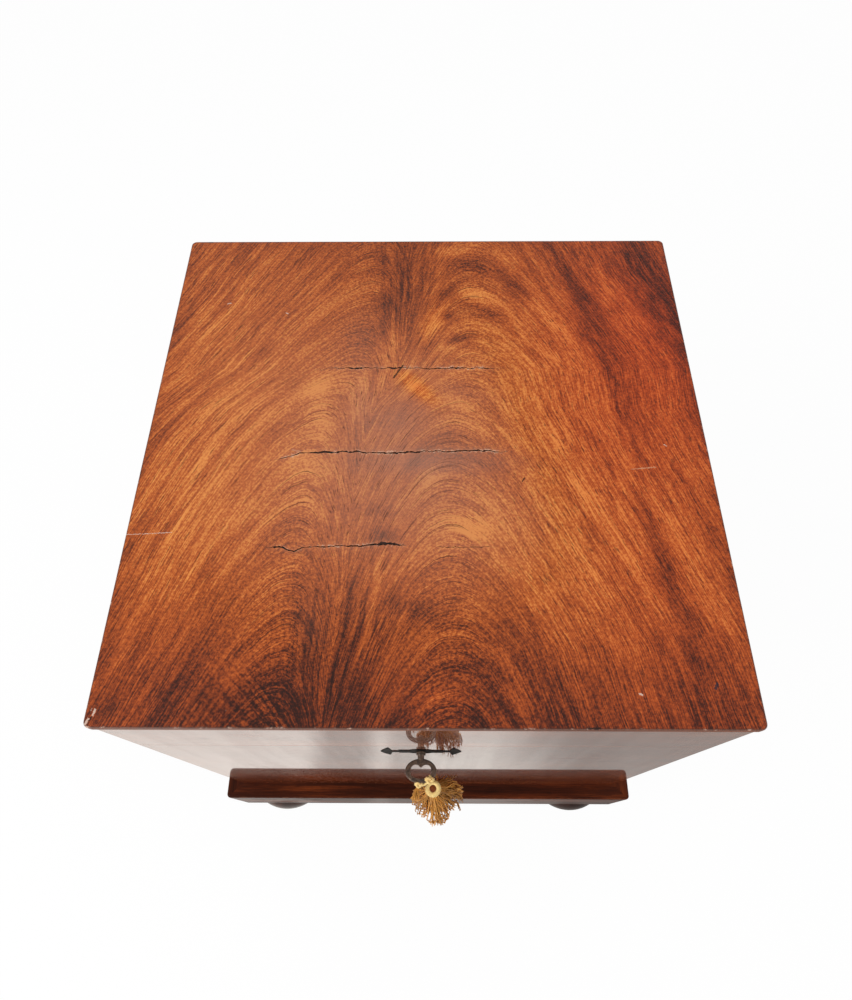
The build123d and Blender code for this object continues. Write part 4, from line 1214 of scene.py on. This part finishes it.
def grow(name: str, tree: NodeTree, values: dict, start: Mesh | None = None) -> Object:
    """Run a geometry tree once and keep its result as a plain mesh.

    Args:
        name: the new object's name.
        tree: the geometry tree.
        values: its inputs, by name.
        start: the mesh that it works on, if it needs one.

    Returns:
        The new object, at the origin and without modifiers.
    """
    holder = new_object(name + "_start", start or bpy.data.meshes.new(name + "_start"))
    modifier = holder.modifiers.new("grow", "NODES")
    modifier.node_group = tree
    for socket in tree.interface.items_tree:
        if socket.name in values:
            modifier[socket.identifier] = values[socket.name]
    holder.update_tag()
    return settled(name, holder)


def chance(graph: Graph, low: float, high: float, seed: object, index: object = None) -> Field:
    """A random number for each element, or with an index the same one for each of its values."""
    feeds = {2: low, 3: high, "Seed": seed}
    if index is not None:
        feeds["ID"] = index
    return graph.get("FunctionNodeRandomValue", feeds, 1, data_type="FLOAT")


def stored(graph: Graph, points: Field, label: str, value: object) -> Field:
    """The points with one more number kept on each."""
    feeds = {"Name": label, "Geometry": points, "Value": value}
    return graph.get("GeometryNodeStoreNamedAttribute", feeds, data_type="FLOAT", domain="POINT")


def fact(graph: Graph, label: str) -> Field:
    """One of the numbers kept on the points."""
    return graph.get("GeometryNodeInputNamedAttribute", {"Name": label}, data_type="FLOAT")


def strand_tree() -> NodeTree:
    """Strands that leave a round root, spread, lean and curl under their own weight."""
    inputs = {
        "Geometry": "Geometry", "Strands": "Int", "Lock": "Int", "Root": "Vector",
        **numbers("Root radius", "Length", "Reach X", "Reach Y"), "Lean": "Vector",
        **numbers("Thread", "Curl"), "Seed": "Int", "Finish": "Material",
    }
    graph, given, out = new_group("tassel_strands", inputs, {"Geometry": "Geometry"}, "Geometry")
    points = graph.get("GeometryNodePoints", {"Count": given["Strands"]})
    lock = graph.math("FLOOR", graph.get("GeometryNodeInputIndex") / given["Lock"])
    for offset, (label, low, high, owner) in enumerate((
        ("turn", 0.0, TURN, lock), ("share", 0.0, 1.0, lock), ("phase", 0.0, 90.0, lock),
        ("tint", 0.0, 1.0, lock), ("long", 0.74, 1.0, None), ("stray", -1.0, 1.0, None),
        ("gap", -1.0, 1.0, None), ("hue", 0.0, 1.0, None),
    )):
        seed = given["Seed"] + float(offset * 17)
        points = stored(graph, points, label, chance(graph, low, high, seed, owner))
    shade = fact(graph, "tint") * 0.6 + fact(graph, "hue") * 0.4
    points = stored(graph, points, "shade", shade)
    feeds = {"Start": (0, 0, 0), "End": (0, 0, -1)}
    line = graph.get("GeometryNodeCurvePrimitiveLine", feeds)
    line = graph.get("GeometryNodeResampleCurve", {"Curve": line, "Count": 10})
    strands = graph.get("GeometryNodeInstanceOnPoints", {"Points": points, "Instance": line})
    strands = graph.get("GeometryNodeRealizeInstances", {0: strands})

    t = graph.get("GeometryNodeSplineParameter")
    flare = 1.0 - graph.math("POWER", 1.0 - t, 1.6)
    share = fact(graph, "gap") * 0.09 + graph.math("POWER", fact(graph, "share"), 0.55)
    turn = fact(graph, "stray") * 0.20 + fact(graph, "turn")
    root = given["Root radius"]
    x, y = (
        (root + (given[reach] - root) * flare) * share * graph.math(wave, turn)
        for reach, wave in (("Reach X", "COSINE"), ("Reach Y", "SINE"))
    )
    drop = t * given["Length"] * fact(graph, "long") * -1.0
    place = graph.vector("ADD", graph.pack(x, y, drop), given["Root"])
    place = graph.vector("ADD", place, graph.scaled(given["Lean"], flare))
    phase = fact(graph, "stray") * 0.28 + fact(graph, "phase")
    wave = graph.push(graph.pack(t * 2.6, phase, phase * 0.7), 1.0)
    curl = given["Curl"] * graph.math("MINIMUM", t * 3.0, 1.0) * 4.0
    swing = graph.scaled(graph.vector("MULTIPLY", wave, (1.0, 1.0, 0.3)), curl)
    feeds = {"Geometry": strands, "Position": graph.vector("ADD", place, swing)}
    strands = graph.get("GeometryNodeSetPosition", feeds)
    feeds = {"Resolution": 3, "Radius": given["Thread"]}
    ring = graph.get("GeometryNodeCurvePrimitiveCircle", feeds)
    feeds = {"Curve": strands, "Profile Curve": ring, "Fill Caps": True}
    tubes = graph.get("GeometryNodeCurveToMesh", feeds)
    tubes = graph.get("GeometryNodeSetShadeSmooth", {"Geometry": tubes, "Shade Smooth": True})
    return ended(graph, tubes, given["Finish"], out["Geometry"])


def ended(graph: Graph, solid: Field, finish: Field, result: NodeSocket) -> NodeTree:
    """Make instances real, give them their finish and hand them out, and return the tree."""
    solid = graph.get("GeometryNodeRealizeInstances", {0: solid})
    feeds = {"Geometry": solid, "Material": finish}
    graph.feed(result, graph.get("GeometryNodeSetMaterial", feeds))
    graph.tree.is_modifier = True
    return graph.tree


def screw_tree() -> NodeTree:
    """One screw at each point, tilted as asked and driven home at its own angle."""
    graph, given, out = new_group("driven_screws", {
        "Geometry": "Geometry", "Screw": "Object", "Tilt": "Vector", "Seed": "Int",
        "Finish": "Material",
    }, {"Geometry": "Geometry"}, "Geometry")
    screw = graph.get("GeometryNodeObjectInfo", {"Object": given["Screw"]}, "Geometry",
                      transform_space="ORIGINAL")
    feeds = {"Points": given["Geometry"], "Instance": screw, "Rotation": given["Tilt"]}
    placed = graph.get("GeometryNodeInstanceOnPoints", feeds)
    spin = graph.pack(0.0, 0.0, chance(graph, 0.0, math.pi, given["Seed"]))
    feeds = {"Instances": placed, "Rotation": spin, "Local Space": True}
    turned = graph.get("GeometryNodeRotateInstances", feeds)
    return ended(graph, turned, given["Finish"], out["Geometry"])


@dataclass(frozen=True)
class Screws:
    """The slotted screws of the hinges, the lock and the link plate. Sizes in metres.

    Args:
        nodes: the frame's objects, by name.
        head, shank: radius of each.
        head_depth: how far the countersunk head reaches down.
        length: over all.
        slot, slot_depth: width and depth of the slot.
        reach: the furthest that two points of one head lie apart.
    """

    nodes: dict[str, Object]
    head: float = 0.0032
    shank: float = 0.0014
    head_depth: float = 0.0016
    length: float = 0.0154
    slot: float = 0.0006
    slot_depth: float = 0.0005
    reach: float = 0.0068

    def template(self) -> Object:
        """One screw, head up at the origin, with a slot cut across its head."""
        half = math.asin(self.slot / 2 / self.head)
        arc = [half + (math.pi - 2 * half) * k / 7 for k in range(8)]
        angles = arc + [a + math.pi for a in arc]
        lower = self.head - (self.head - self.shank) * self.slot_depth / self.head_depth
        rings = ((self.head, 0.0), (lower, -self.slot_depth), (self.shank, -self.head_depth),
                 (self.shank, self.shank - self.length))
        points = [(r * math.cos(a), r * math.sin(a), z) for r, z in rings for a in angles]
        points.append((0.0, 0.0, -self.length))
        n = len(angles)
        faces: list[tuple[int, ...]] = [
            tuple(range(8)), tuple(range(8, 16)), (n + 15, n, n + 7, n + 8),
            (0, 7, n + 7, n), (8, 15, n + 15, n + 8),
        ]
        for k in range(n):
            m = (k + 1) % n
            if k not in (7, 15):  # the slot leaves the head's side open there
                faces.append((k, n + k, n + m, m))
            faces += [(a + k, a + n + k, a + n + m, a + m) for a in (n, 2 * n)]
            faces.append((3 * n + k, 4 * n, 3 * n + m))
        mesh = bpy.data.meshes.new("one_screw")
        mesh.from_pydata(points, [], faces)
        return new_object("one_screw", mesh)

    def build(self, effects: Effects) -> list[Object]:
        """Replace each group of plain screws by driven ones."""
        brass = MetalFinish("screw_brass", linear(214, 168, 92), linear(92, 60, 28), 0.28,
                            cover=0.7, scale=220.0).build(effects)
        steel = MetalFinish("screw_iron", linear(150, 142, 134), linear(70, 50, 40), 0.34,
                            cover=0.8, scale=220.0).build(effects)
        template, tree = self.template(), screw_tree()
        made = []
        for seed, (node, body, slot, finish, tilt) in enumerate((
            ("hinge_screws_lower", "case", "brass_screws", brass, 0.0),
            ("hinge_screws_upper", "lid", "brass_screws", brass, math.pi),
            ("link_plate_screws", "lid", "brass_screws", brass, math.pi),
            ("lock_screws", "case", "iron", steel, -math.pi / 2),
        ), 3):
            start = bpy.data.meshes.new(node + "_places")
            start.from_pydata(self._places(node, tilt), [], [])
            values = {"Screw": template, "Tilt": (tilt, 0.0, 0.0), "Seed": seed, "Finish": finish}
            row = grow(node + "_driven", tree, values, start)
            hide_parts(node)
            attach(row, body)
            made.append(row)
        bpy.data.objects.remove(template)
        return made

    def _places(self, node: str, tilt: float) -> list[tuple[float, ...]]:
        """The middle of each head in a group of screws, read from the frame's own solids.

        Args:
            node: the group's name.
            tilt: how far round X the screws are turned from head up.

        Returns:
            One point for each screw.
        """
        points = np.array([v.co for v in self.nodes[node].data.vertices])
        level = points @ np.array(Matrix.Rotation(tilt, 3, "X") @ Vector((0, 0, 1)))
        heads = points[level > level.max() - 0.0002]
        found = []
        while len(heads):
            near = np.linalg.norm(heads - heads[0], axis=1) < self.reach
            group = heads[near]
            found.append(tuple((group.min(0) + group.max(0)) / 2))
            heads = heads[~near]
        return found


def tints(*colours: tuple[int, int, int]) -> dict[str, Colour]:
    """The four colours of a wood, by the names that WoodFinish has for them."""
    return dict(zip(("dark", "middle", "light", "worn"), (linear(*c) for c in colours)))


@dataclass(frozen=True)
class Carcass:
    """Case, lid sides, plinth, feet and everything inside them: each takes its own finish.

    Args:
        nodes: the frame's objects, by name.
    """

    nodes: dict[str, Object]

    def build(self, effects: Effects) -> int:
        """Give every node that stays its material, and report how many were dressed."""
        woods = {finish.name: finish.build(effects) for finish in self._woods()}
        lead = MetalFinish("liner_lead", linear(118, 120, 122), linear(152, 153, 150), 0.5,
                           metallic=0.25, cover=0.6, scale=34.0, depth=0.0003)
        brass = MetalFinish("lock_brass", linear(206, 160, 88), linear(96, 64, 32), 0.26,
                            cover=0.65)
        iron = MetalFinish("lock_iron", linear(108, 104, 100), linear(74, 46, 32), 0.45,
                           cover=0.7, scale=90.0)
        key = MetalFinish("key_iron", linear(112, 92, 78), linear(28, 19, 14), 0.26,
                          metallic=0.85, cover=0.85, scale=260.0, depth=0.0003)
        metals = {finish.name: finish.build(effects) for finish in (lead, brass, iron, key)}
        finishes = {**woods, **metals, "feet": self._feet(effects), "ebony": self._ebony(effects)}
        rules = (
            ("case_floor", "floor_deal"), ("case_", "case_polish"),
            ("lid_top_board", "lid_board_wood"), ("lid_", "lid_polish"),
            ("plinth_", "plinth_polish"), ("foot_", "feet"), ("corner_blocks", "block_deal"),
            ("lead_liner", "liner_lead"), ("capping_", "capping_polish"),
            ("divider_across", "divider_across_wood"),
            ("divider_lengthwise", "divider_lengthwise_wood"), ("hinge_", "lock_brass"),
            ("link_plate", "lock_brass"), ("lock_plate", "lock_brass"), ("lock_", "lock_iron"),
            ("key", "key_iron"), ("escutcheon", "ebony"),
        )
        dressed = 0
        for name, node in self.nodes.items():
            label = next((label for start, label in rules if name.startswith(start)), None)
            if label is None or node.hide_render:
                continue
            node.data.materials.clear()
            node.data.materials.append(finishes[label])
            dressed += 1
        return dressed

    def _woods(self) -> list[WoodFinish]:
        """The finish of each kind of wooden board."""
        sides = ("front", "back", "left", "right")
        case, lid, base, well = (self._around(*names) for names in (
            [f"case_{side}" for side in sides], [f"lid_{side}" for side in sides],
            [f"plinth_{side}" for side in sides],
            [f"divider_{way}_{n}" for way in ("across", "lengthwise") for n in (1, 2)],
        ))
        lid["high"].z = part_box("lid_top_board_1")[1].z
        varnish = Gloss(coat=1.0, coat_roughness=0.03, specular=0.05)
        rubbed = Gloss(coat=0.10, coat_roughness=0.12, specular=0.02)
        soft = Gloss(specular=0.3)
        outer = dict(
            gloss=varnish, roughness=0.2, inner_roughness=0.55, run=Run.BY_FACE, unevenness=0.16,
            **tints((84, 38, 22), (124, 60, 32), (160, 86, 46), (176, 126, 100)))
        board = dict(
            gloss=soft, roughness=0.5, inner_roughness=0.55, run=Run.ALONG_X,
            **tints((78, 38, 24), (120, 64, 38), (152, 88, 54), (170, 120, 90)))
        foot = dict(
            gloss=rubbed, roughness=0.3, inner_roughness=0.6, run=Run.BY_FACE,
            **tints((30, 12, 7), (68, 28, 13), (124, 57, 24), (140, 88, 60)))
        inner = dict(
            gloss=soft, roughness=0.5, inner_roughness=0.55,
            **tints((82, 44, 28), (124, 72, 46), (160, 104, 70), (180, 138, 104)))
        deal = dict(
            gloss=soft, roughness=0.7, inner_roughness=0.7,
            **tints((136, 100, 62), (178, 140, 94), (206, 172, 124), (190, 160, 120)))
        return [
            WoodFinish("case_polish", **case, **outer),
            WoodFinish("lid_polish", seed=2.0, **lid, **outer),
            WoodFinish("lid_board_wood", seed=5.0, **lid, **board),
            WoodFinish("plinth_polish", seed=4.0, wear=0.0009, density=1.2, **base, **foot),
            WoodFinish("capping_polish", seed=6.0, density=1.5, run=Run.BY_FACE, **case, **inner),
            WoodFinish("divider_across_wood", seed=7.0, run=Run.ALONG_X, **well, **inner),
            WoodFinish("divider_lengthwise_wood", seed=8.0, run=Run.ALONG_Y, **well, **inner),
            WoodFinish("floor_deal", seed=1.0, density=0.5, run=Run.ALONG_X, **case, **deal),
            WoodFinish("block_deal", seed=3.0, density=0.6, run=Run.ALONG_Z, **case, **deal),
        ]

    @staticmethod
    def _around(*names: str) -> dict[str, Vector]:
        """The lowest and highest corner of several nodes together."""
        lows, highs = zip(*(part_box(name) for name in names))
        return {"low": Vector(map(min, zip(*lows))), "high": Vector(map(max, zip(*highs)))}

    @staticmethod
    def _feet(effects: Effects) -> Material:
        """Dark turned mahogany, its grain upright, with turning marks and a dusty sole."""
        material, graph = new_material("turned_polish")
        x, y, z = graph.parts(graph.place())
        feeds = {"Place": graph.pack(z, x, y), "Density": 0.8, "Seed": 12.0}
        grain = graph.group(effects.grain, feeds)
        colour = graph.ramp(grain["Streak"] * 0.4 + grain["Band"] * 0.5, [
            (0.1, linear(24, 10, 8)), (0.55, linear(52, 24, 15)), (0.95, linear(90, 44, 26)),
        ])
        dusty = graph.step(z, 0.012, 0.0)
        rings = graph.noise(graph.pack(0.0, 0.0, z * 900.0), 1.0, 2.0, 0.6)
        Gloss(coat=0.3, coat_roughness=0.1, specular=0.15).shade(graph, {
            "Base Color": graph.blend(dusty * 0.6, colour, linear(120, 96, 78)),
            "Roughness": dusty * 0.4 + 0.28,
            "Normal": graph.bump(grain["Pore"] * -0.6 + rings, 0.3, 0.0001),
        })
        return material

    @staticmethod
    def _ebony(effects: Effects) -> Material:
        """The black inlaid plate: matt, with faint streaks, and brown where it is rubbed."""
        material, graph = new_material("ebonised_plate")
        place = graph.place()
        grain = graph.group(effects.grain, {"Place": place, "Density": 1.6, "Seed": 15.0})
        colour = graph.ramp(grain["Fibre"] * 0.5 + grain["Streak"] * 0.5, [
            (0.2, linear(7, 6, 6)), (0.9, linear(22, 19, 18)),
        ])
        rubbed = graph.step(graph.noise(place, 130.0, 4.0, 0.7), 0.64, 0.78)
        Gloss(specular=0.08).shade(graph, {
            "Base Color": graph.blend(rubbed * 0.4, colour, linear(56, 42, 34)),
            "Roughness": grain["Streak"] * 0.2 + 0.5,
            "Normal": graph.bump(grain["Fibre"], 0.3, 0.00008),
        })
        return material


@dataclass(frozen=True)
class Studio:
    """Camera, pale floor, world and soft lamps.

    Args:
        aside, ahead, above: the camera's place from the middle of the lid's upper front edge.
        pitch, yaw, roll: how it is turned down, to the left and about its own axis, in degrees.
        lens: its focal length, in millimetres on a frame of 36.
        floor_half: half the floor's width, in metres.
        floor_gap: how far under the feet the floor lies, in metres.
        sky: strength of the light from around.
        painted_reflection_bars: stripes of painted shade on the floor that only mirrors see, a
            painted reflection that
        darkens the glossy front there: middle and half width along X, in metres, and how much
        light each takes.
    """

    aside: float = 0.00605
    ahead: float = 0.07856
    above: float = 0.51439
    pitch: float = 62.63
    yaw: float = 1.15
    roll: float = -0.99
    lens: float = 24.415
    floor_half: float = 9.0
    floor_gap: float = 0.0002
    sky: float = 0.62
    painted_reflection_bars: tuple[tuple[float, float, float], ...] = ((-0.135, 0.07, 0.42), (-0.035, 0.045, 0.3))

    def build(self) -> None:
        """Make everything that stands round the object."""
        self._camera()
        self._floor()
        self._world()
        self._lamp("window_left", (-1.9, -1.2, 2.2), 1.6, 44.0)
        self._lamp("fill_right", (2.2, -0.6, 1.9), 1.8, 12.0)

    def _camera(self) -> None:
        """The camera at the photograph's place and angle."""
        data = bpy.data.cameras.new("view")
        data.lens = self.lens
        data.sensor_width = 36.0
        data.clip_start = 0.01
        p, y, r = (math.radians(v) for v in (self.pitch, self.yaw, self.roll))
        ahead = Vector((-math.sin(y) * math.cos(p), math.cos(y) * math.cos(p), -math.sin(p)))
        right = Vector((math.cos(y), math.sin(y), 0.0))
        up = right.cross(ahead)
        side = math.cos(r) * right + math.sin(r) * up
        top = -math.sin(r) * right + math.cos(r) * up
        turned = Matrix((side, top, -ahead)).transposed().to_4x4()
        low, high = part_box("lid_veneer")
        eye = Vector((self.aside, low.y - self.ahead, high.z + self.above))
        camera = new_object("view", data)
        camera.matrix_world = Matrix.Translation(eye) @ turned
        bpy.context.scene.camera = camera

    @staticmethod
    def _rays(graph: Graph) -> tuple[Field, Field]:
        """1 for rays from the camera, and 1 for those that have met a mirror or glass."""
        camera, glossy, through = (
            graph.get("ShaderNodeLightPath", take=f"Is {kind} Ray")
            for kind in ("Camera", "Glossy", "Transmission")
        )
        return camera, graph.math("MAXIMUM", glossy, through)

    def _floor(self) -> None:
        """A white floor that keeps a soft shadow and is clear from below.

        The camera sees it as plain background. Mirrors see a painted reflection on it: a warm tint,
        dim stripes of painted shade, and painted shade right of the middle.
        """
        h = self.floor_half
        mesh = bpy.data.meshes.new("floor")
        corners = [(x, y, -self.floor_gap) for x, y in ((-h, -h), (h, -h), (h, h), (-h, h))]
        mesh.from_pydata(corners, [], [(0, 1, 2, 3)])
        floor = new_object("floor", mesh)
        material, graph = new_material("white_floor")
        camera, mirrored = self._rays(graph)
        place = graph.place()
        x, _, _ = graph.parts(place)
        stops = [(0.3, (0.93, 0.93, 0.93)), (0.7, (0.96, 0.96, 0.96))]
        shade = graph.ramp(graph.noise(place, 3.0, 3.0), stops)
        # painted reflection: the floor that mirrors see is painted darker right of the middle and
        # in the stripes
        level = graph.step(x, 0.03, 0.26) * -0.62 + 1.0
        for middle, half, share in self.painted_reflection_bars:
            level = graph.step(abs(x - middle), half, half * 0.3) * -share + level
        level = graph.between(mirrored * graph.step(x, 1.2, 0.5), 1.0, level)
        # painted reflection: mirrors see the floor with a warm tint
        tint = graph.blend(mirrored, (1.0, 1.0, 1.0), (1.0, 0.945, 0.885))
        lit = graph.get("ShaderNodeBsdfDiffuse", {"Color": shade})
        glow = graph.get("ShaderNodeEmission", {"Color": tint, "Strength": level})
        seen = graph.math("MAXIMUM", camera, mirrored)
        mixed = graph.get("ShaderNodeMixShader", {0: seen * 0.95, 1: lit, 2: glow})
        below = graph.get("ShaderNodeNewGeometry", take="Backfacing")
        clear = graph.get("ShaderNodeBsdfTransparent")
        mixed = graph.get("ShaderNodeMixShader", {0: below, 1: mixed, 2: clear})
        graph.node("ShaderNodeOutputMaterial", {0: mixed})
        mesh.materials.append(material)

    def _world(self) -> None:
        """White where it is looked at or mirrored, and a plain level of light elsewhere."""
        world = bpy.data.worlds.new("studio")
        bpy.context.scene.world = world
        world.use_nodes = True
        world.node_tree.nodes.clear()
        graph = Graph(world.node_tree)
        camera, mirrored = self._rays(graph)
        _, _, up = graph.parts(graph.get("ShaderNodeTexCoord", take="Generated"))
        overhead = graph.between(graph.step(up, 0.25, 0.55), 1.0, self.sky)
        strength = graph.between(mirrored, graph.between(camera, self.sky, 1.0), overhead)
        feeds = {"Color": (1.0, 1.0, 1.0), "Strength": strength}
        graph.node("ShaderNodeOutputWorld", {0: graph.get("ShaderNodeBackground", feeds)})

    @staticmethod
    def _lamp(name: str, place: tuple[float, float, float], size: float, power: float) -> None:
        """A large soft lamp that faces the object's middle."""
        data = bpy.data.lights.new(name, "AREA")
        data.size = size
        data.energy = power
        lamp = new_object(name, data)
        lamp.location = place
        toward = Vector((0, 0, 0.4)) - Vector(place)
        lamp.rotation_euler = toward.to_track_quat("-Z", "Y").to_euler()


def main() -> None:
    """Load the frame, build each part of the scene in order, and log what was made."""
    logging.basicConfig(level=logging.INFO, format="%(message)s")
    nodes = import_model()["nodes"]
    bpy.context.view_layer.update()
    bpy.context.scene.view_settings.view_transform = "Standard"
    effects = Effects()
    Studio().build()
    log.info("studio ready")
    for piece in (LidTop().build(effects), *Tassel().build(), *Screws(nodes).build(effects)):
        log.info("%s: %d faces", piece.name, len(piece.data.polygons))
    log.info("%d nodes dressed", Carcass(nodes).build(effects))


if __name__ == "__main__":
    main()
